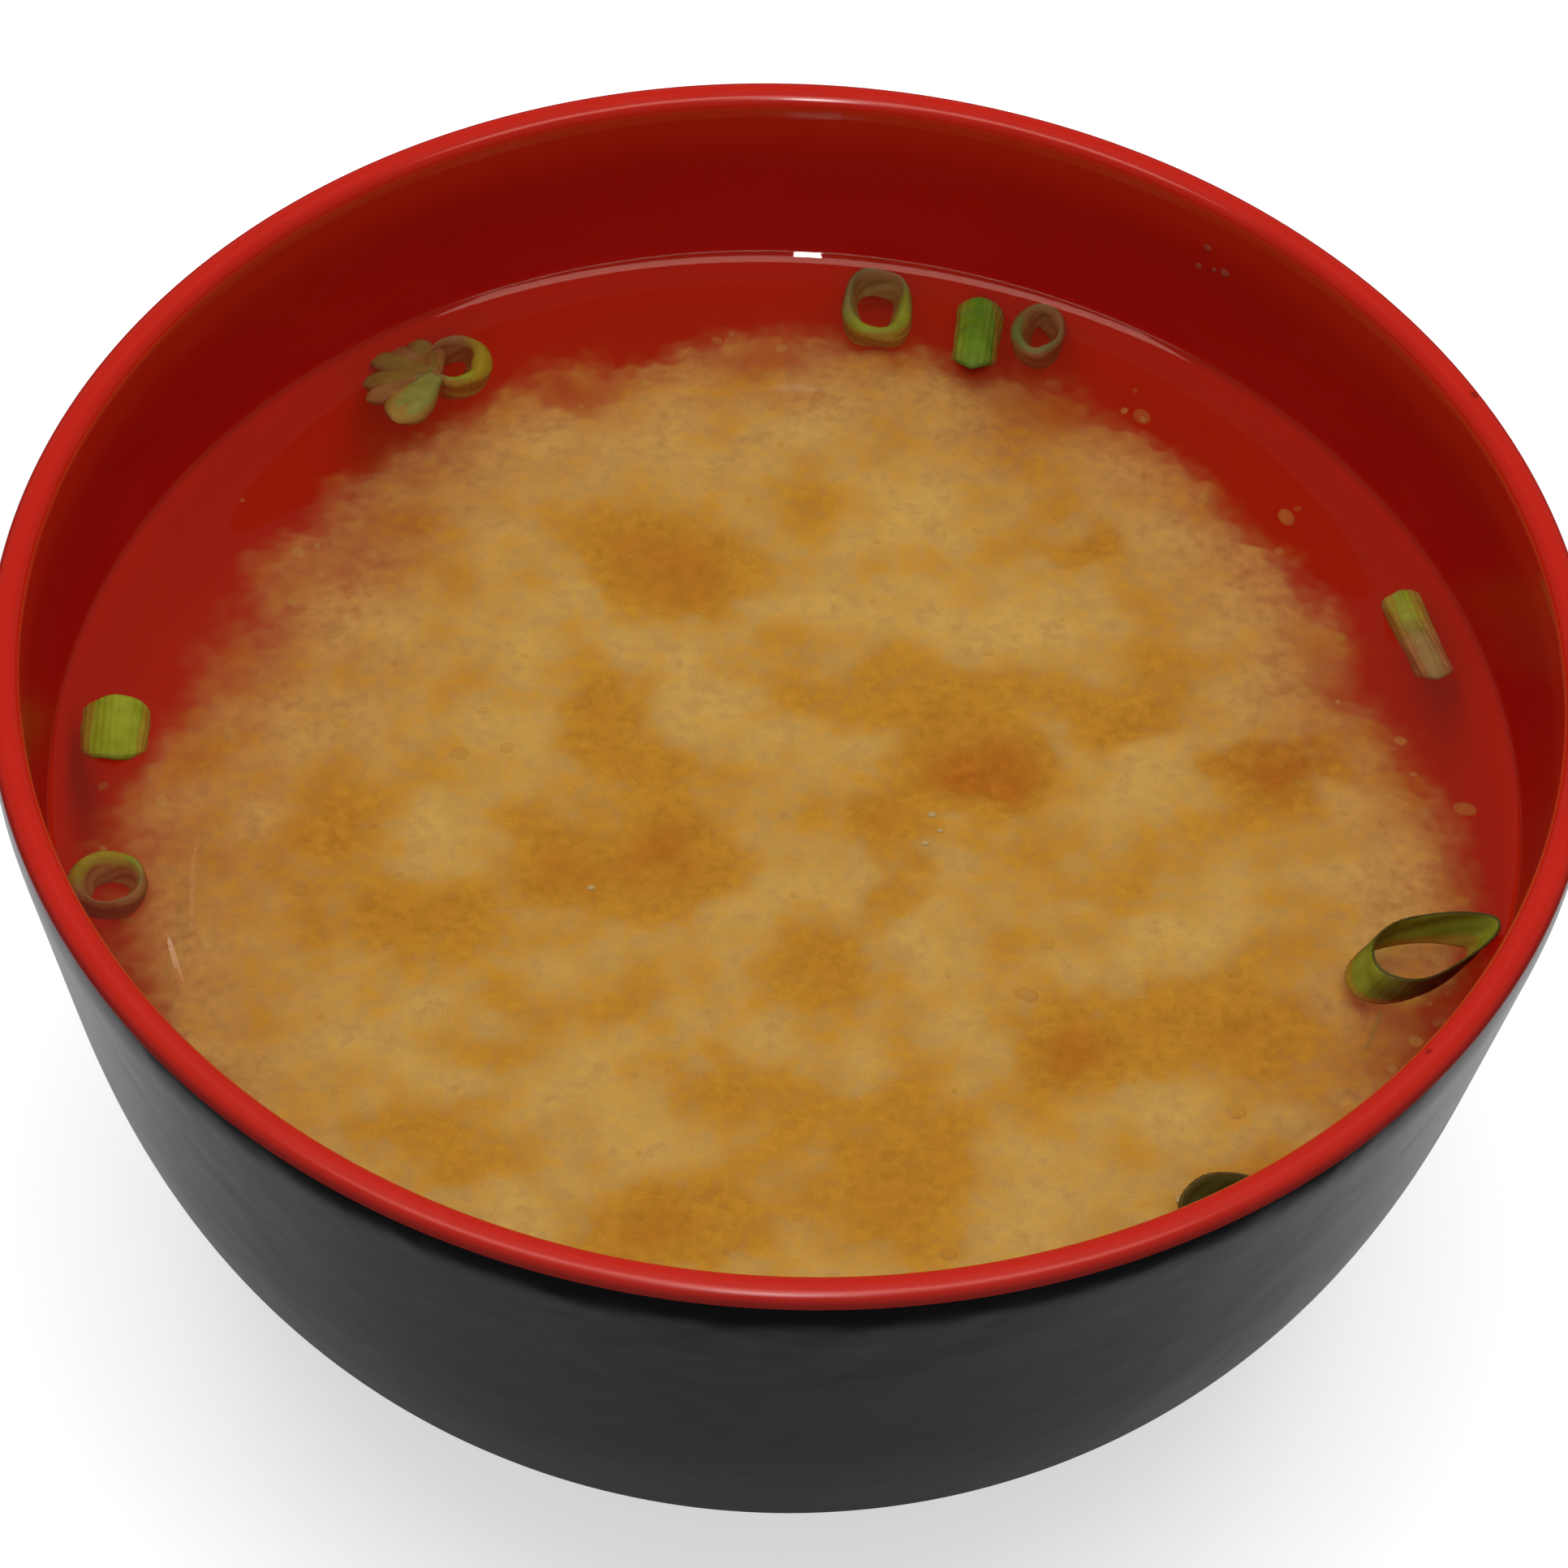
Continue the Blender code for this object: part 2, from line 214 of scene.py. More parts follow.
def make_piece(name, points, faces, materials, attributes=None, face_materials=None):
    """Makes a smooth piece from points in metres and lets it ride on the part's one body."""
    mesh = bpy.data.meshes.new(name)
    mesh.from_pydata([tuple(point) for point in points], [], faces)
    for material in materials:
        mesh.materials.append(material)
    if face_materials is not None:
        mesh.polygons.foreach_set("material_index", face_materials)
    for attribute_name, values in (attributes or {}).items():
        values = np.asarray(values, dtype=np.float32)
        kind, field = ("FLOAT", "value") if values.ndim == 1 else ("FLOAT_VECTOR", "vector")
        attribute = mesh.attributes.new(attribute_name, kind, "POINT")
        attribute.data.foreach_set(field, values.ravel())
    mesh.validate()
    mesh.update()
    mesh.shade_smooth()
    piece = bpy.data.objects.new(name, mesh)
    bpy.context.scene.collection.objects.link(piece)
    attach(piece, ROOT)
    return piece


# Material helpers


def new_material(name, **values):
    """A new material, with constants for its shader's sockets."""
    material = bpy.data.materials.new(name)
    material.use_nodes = True
    tree = material.node_tree
    shader = tree.nodes["Principled BSDF"]
    for key, value in {"Metallic": 0.0, **values}.items():
        shader.inputs[key.replace("_", " ")].default_value = value
    return material, tree, shader


def add_node(tree, kind, **values):
    node = tree.nodes.new(kind)
    for key, value in values.items():
        if key in node.inputs:
            node.inputs[key].default_value = value
        else:
            setattr(node, key, value)
    return node


def fill_socket(tree, socket, value):
    """Gives a socket a number, a colour as three numbers, or the value of another socket."""
    if isinstance(value, bpy.types.NodeSocket):
        tree.links.new(value, socket)
    elif isinstance(value, (int, float)):
        socket.default_value = value
    else:
        socket.default_value = (*value, 1.0)


def add_math(tree, operation, first, second, clamp=False):
    node = add_node(tree, "ShaderNodeMath", operation=operation, use_clamp=clamp)
    fill_socket(tree, node.inputs[0], first)
    fill_socket(tree, node.inputs[1], second)
    return node.outputs[0]


def plus(tree, first, second, clamp=False):
    return add_math(tree, "ADD", first, second, clamp)


def times(tree, first, second):
    return add_math(tree, "MULTIPLY", first, second)


def add_mix(tree, factor, first, second):
    """Mixes two colours, each given as a socket or as three numbers."""
    node = add_node(tree, "ShaderNodeMix", data_type="RGBA")
    for index, value in ((0, factor), (6, first), (7, second)):
        fill_socket(tree, node.inputs[index], value)
    return node.outputs[2]


def add_attribute(tree, name, output="Fac"):
    node = tree.nodes.new("ShaderNodeAttribute")
    node.attribute_name = name
    return node.outputs[output]


def add_ramp(tree, factor, stops):
    """A smooth ramp through three or more (place, colour) stops."""
    ramp = tree.nodes.new("ShaderNodeValToRGB")
    ramp.color_ramp.interpolation = "EASE"
    for index, (place, colour) in enumerate(stops):
        stop = ramp.color_ramp.elements[index] if index < 2 else ramp.color_ramp.elements.new(place)
        stop.position = place
        stop.color = (*colour, 1.0)
    tree.links.new(factor, ramp.inputs[0])
    return ramp.outputs[0]


def group_shell(name, inputs, outputs):
    """A new shader node group with its sockets; gives the tree and its two end nodes."""
    tree = bpy.data.node_groups.new(name, "ShaderNodeTree")
    for socket_name, default in inputs:
        socket = tree.interface.new_socket(socket_name, in_out="INPUT", socket_type="NodeSocketFloat")
        socket.default_value = default
    for socket_name in outputs:
        tree.interface.new_socket(socket_name, in_out="OUTPUT", socket_type="NodeSocketFloat")
    return tree, tree.nodes.new("NodeGroupInput"), tree.nodes.new("NodeGroupOutput")


def per_size(tree, size):
    """The texture scale that gives features of a size in millimetres."""
    return add_math(tree, "DIVIDE", 1 / MM, size)


def grain_group():
    """Soft random tone at two sizes, each between 0 and 1."""
    found = bpy.data.node_groups.get("grain")
    if found:
        return found
    tree, start, end = group_shell("grain", (("Coarse Size", 3.0), ("Fine Size", 0.6)), ("Coarse", "Fine"))
    place = tree.nodes.new("ShaderNodeTexCoord").outputs["Object"]
    for size, output in (("Coarse Size", "Coarse"), ("Fine Size", "Fine")):
        noise = add_node(tree, "ShaderNodeTexNoise", Detail=2.0, Roughness=0.55)
        tree.links.new(place, noise.inputs["Vector"])
        tree.links.new(per_size(tree, start.outputs[size]), noise.inputs["Scale"])
        tree.links.new(noise.outputs["Fac"], end.inputs[output])
    return tree


def fleck_group():
    """A mask of small scattered flecks: 1 on a fleck, 0 between them."""
    found = bpy.data.node_groups.get("fleck")
    if found:
        return found
    inputs = (("Spacing", 1.6), ("Radius", 0.25), ("Share", 0.4))
    tree, start, end = group_shell("fleck", inputs, ("Mask",))
    place = tree.nodes.new("ShaderNodeTexCoord").outputs["Object"]
    warp = add_node(tree, "ShaderNodeTexNoise", Scale=1500.0, Detail=1.0)
    tree.links.new(place, warp.inputs["Vector"])
    cells = add_node(tree, "ShaderNodeTexVoronoi")
    tree.links.new(place, cells.inputs["Vector"])
    tree.links.new(per_size(tree, start.outputs["Spacing"]), cells.inputs["Scale"])
    distance = times(tree, cells.outputs["Distance"], start.outputs["Spacing"])
    ragged = times(tree, start.outputs["Radius"], times(tree, warp.outputs["Fac"], 2.0))
    inside = add_math(tree, "DIVIDE", add_math(tree, "SUBTRACT", ragged, distance), start.outputs["Radius"], True)
    channels = tree.nodes.new("ShaderNodeSeparateColor")
    tree.links.new(cells.outputs["Color"], channels.inputs[0])
    chosen = add_math(tree, "LESS_THAN", channels.outputs[0], start.outputs["Share"])
    tree.links.new(times(tree, inside, chosen), end.inputs["Mask"])
    return tree


def place_group(tree, group, **values):
    node = tree.nodes.new("ShaderNodeGroup")
    node.node_tree = group
    for name, value in values.items():
        node.inputs[name.replace("_", " ")].default_value = value
    return node


def add_grain(tree, coarse_size, fine_size):
    """The coarse and the fine tone of the grain group, for sizes in millimetres."""
    grain = place_group(tree, grain_group(), Coarse_Size=coarse_size, Fine_Size=fine_size)
    return grain.outputs["Coarse"], grain.outputs["Fine"]


def add_range(tree, value, source, target):
    """Maps one range smoothly onto another."""
    node = add_node(tree, "ShaderNodeMapRange", interpolation_type="SMOOTHSTEP")
    tree.links.new(value, node.inputs["Value"])
    for name, number in zip(("From Min", "From Max", "To Min", "To Max"), (*source, *target)):
        node.inputs[name].default_value = number
    return node.outputs[0]


def mix_shaders(tree, factor, first, second):
    """Mixes the first outputs of two shader nodes; the factor is a socket or a number."""
    node = tree.nodes.new("ShaderNodeMixShader")
    for socket, value in zip(node.inputs, (factor, first.outputs[0], second.outputs[0])):
        fill_socket(tree, socket, value)
    return node


def add_bump(tree, height, distance, strength):
    node = add_node(tree, "ShaderNodeBump", Strength=strength, Distance=distance)
    tree.links.new(height, node.inputs["Height"])
    return node.outputs["Normal"]


# Bowl

LIP_STEPS = 20
SHOULDER_START = 0.2
SHOULDER_END = 3.4
WALL_DROP = 20.0
WALL_STEPS = 26
BELLY_STEPS = 36
BELLY_UPPER_PULL = 15.3
BELLY_LOWER_PULL = 16.8
BELLY_BASE_SLOPE = math.radians(12.0)
FOOT_TOP = (30.0, 5.5)
FOOT_BASE_RADIUS = 28.8
FOOT_WIDTH = 3.0
FOOT_RECESS = 3.6
FOOT_ROUNDING = 0.4
LIP_FADE = 12.0
LIP_GLOSS_DROP = 0.9
SKIN_DEPTH = 0.15
FINE_STEPS = 8
FLOOR_SHARES = (0.0, 0.35, 0.7, 0.92)
FOOT_FLARE = (0.4, 1.6)
FOOT_LEAN = 0.2
RECESS_BEVEL = 0.6

# Materials of the bowl: name, roughness, roughness at the near side, depth of its wave in metres, specular level
LACQUERS = (
    ("red_lacquer", 0.16, 0.26, 0.0002, 0.35),
    ("red_wall_lacquer", 0.32, 0.32, 0.0002, 0.12),
    ("red_wetted_lacquer", 0.45, 0.45, 0.0002, 0.03),
    ("black_lacquer", 0.20, 0.20, 0.0009, 0.5),
)
LIP, WALL, WETTED, OUTSIDE = range(4)
LACQUER_GRAIN = (9.0, 0.5)
LACQUER_SHADE = 0.12
SHEEN_VARIES = 0.5
WAVE_STRENGTH = 0.3

# Where the bowl's masks fade in, in millimetres, but the near side's as a share of the lip's radius. The masks for
# the wall below the lip and for the lip's underside place painted shade, and the mask under the broth places painted
# light.
WETTED_ABOVE = 1.0
# Where painted light on the wall under the broth fades in.
WET_LIGHT_ABOVE = 1.4
WET_LIGHT_FADE = (-0.6, 0.4)
# Where painted shade fades in from the lip down the inside wall.
PAINTED_WALL_SHADE_FADE = (0.5, 5.0)
# Where painted shade under the lip fades in.
LIP_UNDER_SHADE_FADE = (1.15, 0.2)
NEAR_FADE = (0.0, 0.7)


def lip_axis():
    """Radius and height of the lip's rounded middle, in millimetres."""
    half = settings("bowl").lip_thickness / MM / 2
    return CAD_HIGH.x / MM - half, CAD_HIGH.z / MM - half


def outer_curve():
    """The outside below the lip as (radius, height, thickness), from the parting line to the foot."""
    draft = settings("bowl").wall_draft
    lip = settings("bowl").lip_thickness / MM
    wall = settings("bowl").wall_thickness / MM
    top_height = lip_axis()[1]
    full_radius = CAD_HIGH.x / MM

    def thickness(drop):
        return wall + (lip - wall) * (1 - smooth_step(0.0, LIP_FADE, drop))

    points = []
    radius = full_radius
    drop = 0.0
    step = WALL_DROP / (WALL_STEPS * FINE_STEPS)
    for index in range(WALL_STEPS * FINE_STEPS + 1):
        if index % FINE_STEPS == 0:
            points.append((radius, top_height - drop, float(thickness(drop))))
        slope = draft * smooth_step(SHOULDER_START, SHOULDER_END, drop)
        radius -= step * math.tan(slope)
        drop += step
    start = points[-1]
    upper = (start[0] - BELLY_UPPER_PULL * math.sin(draft), start[1] - BELLY_UPPER_PULL * math.cos(draft))
    lower = (
        FOOT_TOP[0] + BELLY_LOWER_PULL * math.cos(BELLY_BASE_SLOPE),
        FOOT_TOP[1] + BELLY_LOWER_PULL * math.sin(BELLY_BASE_SLOPE),
    )
    for index in range(1, BELLY_STEPS + 1):
        t = index / BELLY_STEPS
        weights = ((1 - t) ** 3, 3 * t * (1 - t) ** 2, 3 * t * t * (1 - t), t**3)
        corners = (start[:2], upper, lower, FOOT_TOP)
        place = [sum(w * p[axis] for w, p in zip(weights, corners)) for axis in (0, 1)]
        points.append((place[0], place[1], wall))
    return points


def inner_curve(clearance=0.0):
    """The inside from the lip to the floor as (radius, height)."""
    outside = outer_curve()
    inside = []
    for index, (radius, height, thickness) in enumerate(outside):
        before = outside[max(index - 1, 0)]
        after = outside[min(index + 1, len(outside) - 1)]
        along = Vector((after[0] - before[0], after[1] - before[1])).normalized()
        offset = thickness + clearance
        inside.append((radius + along.y * offset, height - along.x * offset))
    return inside


def radius_at(curve, height):
    """The radius of a falling curve at a height."""
    for upper, lower in zip(curve, curve[1:]):
        if lower[1] <= height <= upper[1]:
            share = (upper[1] - height) / (upper[1] - lower[1])
            return upper[0] + (lower[0] - upper[0]) * share
    return curve[-1][0]


def lathe(profile, segments):
    """Turns a closed (radius, height) profile that starts and ends on the axis; millimetres in, metres out."""
    points = []
    rows = []
    for radius, height in profile:
        if radius < 1e-6:
            rows.append([len(points)] * segments)
            points.append((0.0, 0.0, height * MM))
            continue
        first = len(points)
        rows.append([first + step for step in range(segments)])
        points += [turned_point(radius, 2 * math.pi * step / segments, height) for step in range(segments)]
    faces = []
    face_rows = []
    for index, (upper, lower) in enumerate(zip(rows, rows[1:])):
        faces += loop_faces(upper, lower)
        face_rows += [index] * segments
    return points, faces, face_rows


def bowl_profile():
    """The whole bowl from the inside's centre over the lip to the underside's centre."""
    inside = inner_curve()
    outside = outer_curve()
    axis_radius, axis_height = lip_axis()
    half = settings("bowl").lip_thickness / MM / 2
    lip = []
    for step in range(1, LIP_STEPS):
        angle = math.pi * (1 - step / LIP_STEPS)
        lip.append((axis_radius + half * math.cos(angle), axis_height + half * math.sin(angle)))
    floor_height = inside[-1][1]
    floor = [(share * inside[-1][0], floor_height) for share in FLOOR_SHARES]
    base = FOOT_BASE_RADIUS
    edge = FOOT_ROUNDING
    inner = base - FOOT_WIDTH
    foot = [
        (base + FOOT_FLARE[0], FOOT_FLARE[1]),
        (base, edge),
        (base - edge / 3, edge / 3),
        (base - edge, 0.0),
        (inner + edge, 0.0),
        (inner + edge / 3, edge / 3),
        (inner, edge),
        (inner - FOOT_LEAN, FOOT_RECESS - edge),
        (inner - RECESS_BEVEL, FOOT_RECESS),
        (inner * 0.5, FOOT_RECESS),
        (0.0, FOOT_RECESS),
    ]
    below = [(radius, height) for radius, height, _ in outside]
    parting = len(floor) + len(inside) + len(lip)
    return floor + inside[::-1] + lip + below + foot, parting


def lacquer_material(name, colours, roughness, dull_roughness, wave, level):
    """Glossy lacquer with a faint unevenness; its colours are for the lip, the wall below the lip darkened as
    painted shade, the wall under broth lightened as painted light, and the lip's underside darkened as painted
    shade.
    """
    material, tree, shader = new_material(name, Specular_IOR_Level=level)
    coarse, _ = add_grain(tree, *LACQUER_GRAIN)
    shade = colours[0]
    for mask, colour in zip(("painted_wall_shade", "wet", "lip_under_shade"), colours[1:]):
        shade = add_mix(tree, add_attribute(tree, mask), shade, colour)
    darker = add_mix(tree, LACQUER_SHADE, shade, BLACK)
    tree.links.new(add_mix(tree, coarse, darker, shade), shader.inputs["Base Color"])
    dull = times(tree, add_attribute(tree, "dull"), dull_roughness - roughness)
    uneven = times(tree, coarse, roughness * SHEEN_VARIES)
    even = plus(tree, uneven, roughness * (1 - SHEEN_VARIES / 2))
    tree.links.new(plus(tree, even, dull), shader.inputs["Roughness"])
    tree.links.new(add_bump(tree, coarse, wave, WAVE_STRENGTH), shader.inputs["Normal"])
    return material


class MISO_OT_bowl(bpy.types.Operator):
    """Turns the bowl: red inside and over the lip, black outside and below"""

    bl_idname = "miso.bowl"
    bl_label = "Turn Bowl"

    def execute(self, context):
        bowl = context.scene.miso_bowl
        profile, parting = bowl_profile()
        points, faces, rows = lathe(profile, bowl.segments)
        reds = [tuple(colour) for colour in (bowl.red, bowl.shaded_wall_red, bowl.wet_lit_red, bowl.shaded_red)]
        colours = (reds, reds, reds, [tuple(bowl.black)] * 4)
        materials = [lacquer_material(name, own, *sheen) for own, (name, *sheen) in zip(colours, LACQUERS)]
        axis_radius, axis_height = lip_axis()
        level = broth_level()
        sides = []
        for row in rows:
            drop = axis_height - profile[row][1]
            inner = WETTED if profile[row][1] < level + WETTED_ABOVE else WALL
            sides.append(OUTSIDE if row >= parting else inner if drop > LIP_GLOSS_DROP else LIP)
        x, y, height = np.array(points).T / MM
        rise = height - axis_height
        fields = {
            # Painted light on the wall under the broth.
            "wet": smooth_step(*WET_LIGHT_FADE, level + WET_LIGHT_ABOVE - height),
            # Painted shade on the inside wall below the lip.
            "painted_wall_shade": smooth_step(*PAINTED_WALL_SHADE_FADE, -rise),
            # Painted shade on the lip's underside.
            "lip_under_shade": smooth_step(*LIP_UNDER_SHADE_FADE, rise) * (np.hypot(x, y) > axis_radius),
            "dull": smooth_step(*NEAR_FADE, -y / axis_radius),
        }
        piece = make_piece("lacquer_bowl", points, faces, materials, fields, sides)
        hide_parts("bowl")
        return {"FINISHED"}


# Broth

BROTH_CELLS = 168
BROTH_CROWD = 1.6
SIDE_RINGS = 8
SIDE_TOP = 3.0


def broth_level():
    """Height of the flat broth: the solid's top less what its edge climbs."""
    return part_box("broth")[1].z / MM - meniscus_rise(settings("broth").contact)


def meniscus_rise(slope):
    """How far the edge has climbed where the surface slopes by an angle."""
    return 2 * settings("broth").capillary / MM * math.sin(slope / 2)


def meniscus_curve(steps=80):
    """(distance from the wall, rise) along the curved edge, from the wall outwards."""
    length = settings("broth").capillary / MM
    contact = settings("broth").contact
    curve = []
    for step in range(steps):
        slope = contact * (1 - step / steps) ** 1.5
        half = slope / 2
        run = length * (math.acosh(1 / math.sin(half)) - 2 * math.cos(half))
        curve.append((run, 2 * length * math.sin(half)))
    start = curve[0][0]
    return [(run - start, rise) for run, rise in curve]


def disc_grid(cells, crowd=1.0):
    """Even quads over a unit disc, made from a square grid; crowd above 1 draws rows to the border."""
    side = np.linspace(-1.0, 1.0, cells + 1)
    a, b = np.meshgrid(side, side, indexing="ij")
    wide = np.abs(a) >= np.abs(b)
    safe_a = np.where(np.abs(a) < 1e-9, 1.0, a)
    safe_b = np.where(np.abs(b) < 1e-9, 1.0, b)
    reach = np.where(wide, a, b)
    angle = np.where(wide, math.pi / 4 * b / safe_a, math.pi / 2 - math.pi / 4 * a / safe_b)
    spread = 1 - (1 - np.abs(reach)) ** crowd
    reach = np.sign(reach) * spread
    return (reach * np.cos(angle)).ravel(), (reach * np.sin(angle)).ravel()


def grid_faces(cells):
    row = cells + 1
    return [
        (i * row + j, (i + 1) * row + j, (i + 1) * row + j + 1, i * row + j + 1)
        for i in range(cells)
        for j in range(cells)
    ]


def border_loop(cells):
    """The grid's border vertices in order."""
    row = cells + 1
    loop = [i * row for i in range(cells)]
    loop += [cells * row + j for j in range(cells)]
    loop += [i * row + cells for i in range(cells, 0, -1)]
    loop += [j for j in range(cells, 0, -1)]
    return loop


def liquid_body(cells, x, y, top, wall):
    """A closed body: a disc-shaped top of grid points, sides down a wall and a flat bottom; millimetres in."""
    points = [(px * MM, py * MM, pz * MM) for px, py, pz in zip(x, y, top)]
    faces = grid_faces(cells)
    above = border = border_loop(cells)
    for radius, height in wall:
        below = [len(points) + index for index in range(len(above))]
        points += [turned_point(radius, math.atan2(y[vertex], x[vertex]), height) for vertex in border]
        faces += loop_faces(above, below, flipped=True)
        above = below
    faces.append(above[::-1])
    return points, faces


def broth_walls():
    """The wall that the broth reaches just into, thinned to a few rings below the surface."""
    top = broth_level() - SIDE_TOP
    below = [point for point in inner_curve(-SKIN_DEPTH) if point[1] < top]
    return [below[round(index * (len(below) - 1) / (SIDE_RINGS - 1))] for index in range(SIDE_RINGS)]


# How the surface wets each slice, in millimetres: width of the wetted band inside its outline, shift of its
# middle from its solid's, and the most that the surface climbs
WETTING = {
    "onion_ring_back": (1.0, (0.0, 1.0), 0.03),
    "onion_ring_small": (0.8, (0.4, 1.4), 0.03),
    "onion_ring_back_left": (0.9, (0.0, 0.0), 0.11),
    "onion_ring_left": (0.9, (-0.7, 0.0), 0.05),
    "onion_ring_right": (0.6, (0.8, 0.5), 0.16),
    "onion_ring_front": (0.6, (0.0, 0.0), 0.11),
    "onion_tube_back": (9.0, (0.0, 0.0), 0.03),
    "onion_tube_right": (9.0, (0.0, 0.0), 0.20),
    "onion_tube_left": (9.0, (0.0, 0.0), 0.24),
    "onion_fan": (9.0, (0.5, 1.0), 0.11),
}
WET_SKIN = 0.12
WET_REACH = 1.1
WET_FALL = 1.3

CLEAR_TINT = (1.0, 0.97, 0.93)
WATER_IOR = 1.333
WATER_ROUGHNESS = 0.02


def climb_round_onions(x, y):
    """The rise of the surface where it wets a slice that stands out of it; low slices are drawn over."""
    level = broth_level()
    rise = np.zeros_like(x)
    for node, (wall, shift, most) in WETTING.items():
        low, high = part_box(node)
        stand = high.z / MM - level
        centre = (low + high) / (2 * MM) + Vector((*shift, 0.0))
        half = (high - low) / (2 * MM)
        span = (half.x + half.y) / 2
        away = (np.sqrt(((x - centre.x) / half.x) ** 2 + ((y - centre.y) / half.y) ** 2) - 1) * span
        outside = np.maximum(away, 0.0) + np.maximum(-wall - away, 0.0)
        climb = min(stand + WET_SKIN, most)
        rise = np.maximum(rise, climb * np.exp(-((outside / WET_REACH) ** WET_FALL)))
    return rise


def film_material():
    """Clear broth: mostly transparent, a little haze tinted red to add painted light over the wall beneath, and the
    gloss of water.
    """
    broth = settings("broth")
    material = bpy.data.materials.new("clear_broth")
    material.use_nodes = True
    tree = material.node_tree
    tree.nodes.clear()
    output = tree.nodes.new("ShaderNodeOutputMaterial")
    clear = add_node(tree, "ShaderNodeBsdfTransparent")
    clear.inputs["Color"].default_value = (*CLEAR_TINT, 1.0)
    haze = add_node(tree, "ShaderNodeBsdfDiffuse")
    haze.inputs["Color"].default_value = (*broth.haze_light_colour, 1.0)
    gloss = add_node(tree, "ShaderNodeBsdfGlossy", Roughness=WATER_ROUGHNESS)
    gloss.inputs["Color"].default_value = (*WHITE, 1.0)
    fresnel = add_node(tree, "ShaderNodeFresnel", IOR=WATER_IOR)
    cloudy = mix_shaders(tree, broth.haze, clear, haze)
    wet = mix_shaders(tree, fresnel.outputs[0], cloudy, gloss)
    tree.links.new(wet.outputs[0], output.inputs["Surface"])
    return material


class MISO_OT_broth(bpy.types.Operator):
    """Pours the clear broth: a closed body whose edge climbs the wall and the slices"""

    bl_idname = "miso.broth"
    bl_label = "Pour Broth"

    def execute(self, context):
        level = broth_level()
        curve = meniscus_curve()
        contact_height = level + curve[0][1]
        contact_radius = radius_at(inner_curve(), contact_height)
        unit_x, unit_y = disc_grid(BROTH_CELLS, BROTH_CROWD)
        reach = np.hypot(unit_x, unit_y)
        full = contact_radius + SKIN_DEPTH
        x = unit_x * full
        y = unit_y * full
        runs, rises = np.array(curve).T
        distance = contact_radius - reach * full
        edge = np.interp(distance, runs, rises, right=0.0)
        capillary = context.scene.miso_broth.capillary / MM
        edge = np.where(distance > runs[-1], rises[-1] * np.exp(-(distance - runs[-1]) / capillary), edge)
        top = level + np.hypot(edge, climb_round_onions(x, y))
        points, faces = liquid_body(BROTH_CELLS, x, y, top, broth_walls())
        piece = make_piece("clear_broth", points, faces, (film_material(),))
        piece.visible_shadow = False
        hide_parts("broth")
        return {"FINISHED"}


# Settled miso

MISO_CELLS = 270
MISO_DEPTH = 1.5
MISO_SHALLOWEST = 0.5
MISO_HIDDEN = 1.6
MISO_RIM_DEPTH = 2.0
MISO_SIDE_DEPTH = 7.0
HOLLOW_DEPTH = 1.1
SOUP_HALF_WIDTH = 55.0

# Layers of hills, each (height, size) in millimetres; the tone's heights are shares
WARP = ((1.8, 6.0), (0.9, 2.4), (0.4, 1.1))
RAGGED_EDGE = ((1.3, 7.0), (0.9, 2.6), (0.7, 1.1))
RELIEF = ((0.25, 13.0), (0.12, 5.5), (0.07, 2.3), (0.05, 1.05))
TONE = ((0.22, 9.0), (0.12, 3.4))

# The cloud's cover: width over which its edge fades in, share at the edge, and growth inwards in millimetres
EDGE_FADE = 2.2
EDGE_COVER = 0.34
BODY_COVER = 0.70
EDGE_GROWTH = 7.5
EDGE_GROWTH_LEFT = 5.5
EDGE_GROWTH_FRONT = -3.5

# Where the cloud's edge counts as front or left, as shares of the soup's half width
FRONT = (-0.2, 1.0)
LEFT = (0.2, 0.9)
LEFT_BACK = (-0.6, 0.0)

# The tone outside the hollows: its middle and its highest value
TONE_MIDDLE = 0.16
TONE_LIMIT = 0.5

# How a soft spot falls off
SPOT_FALL = 0.7
SPOT_POWER = 1.25

# The cloud's material: shares of the coarse and the fine noise in each effect, and each mix's strength and colour
TONE_NOISE = (0.50, 0.45)
MOTTLE_NOISE = (1.6, 2.2)
ALPHA_NOISE = (1.2, 1.0)
SLOPE_TONE = 0.48
FLECKS = (
    (dict(Spacing=2.6, Radius=0.40, Share=0.42), 0.34, (0.22, 0.115, 0.012)),
    (dict(Spacing=3.3, Radius=0.26, Share=0.24), 0.30, (0.60, 0.42, 0.18)),
)
MISO_GRAIN = (2.4, 1.0)
MISO_RELIEF_SCALE = 800.0
MISO_RELIEF = 0.0003
MOTTLE_DARK = 0.20
MOTTLE_PALE = (0.09, (0.85, 0.62, 0.10))

# Width of the clear broth between the miso and the wall, in millimetres, by degrees from +X
CLEAR_WIDTHS = (
    (0, 2.6), (12, 6.4), (20, 8.4), (36, 7.2), (60, 5.4), (75, 4.8),
    (90, 4.6), (105, 5.6), (120, 5.8), (144, 7.4), (168, 7.8), (180, 4.6),
    (198, 3.4), (225, 1.2), (270, -1.0), (315, 0.2), (340, 2.4),
)

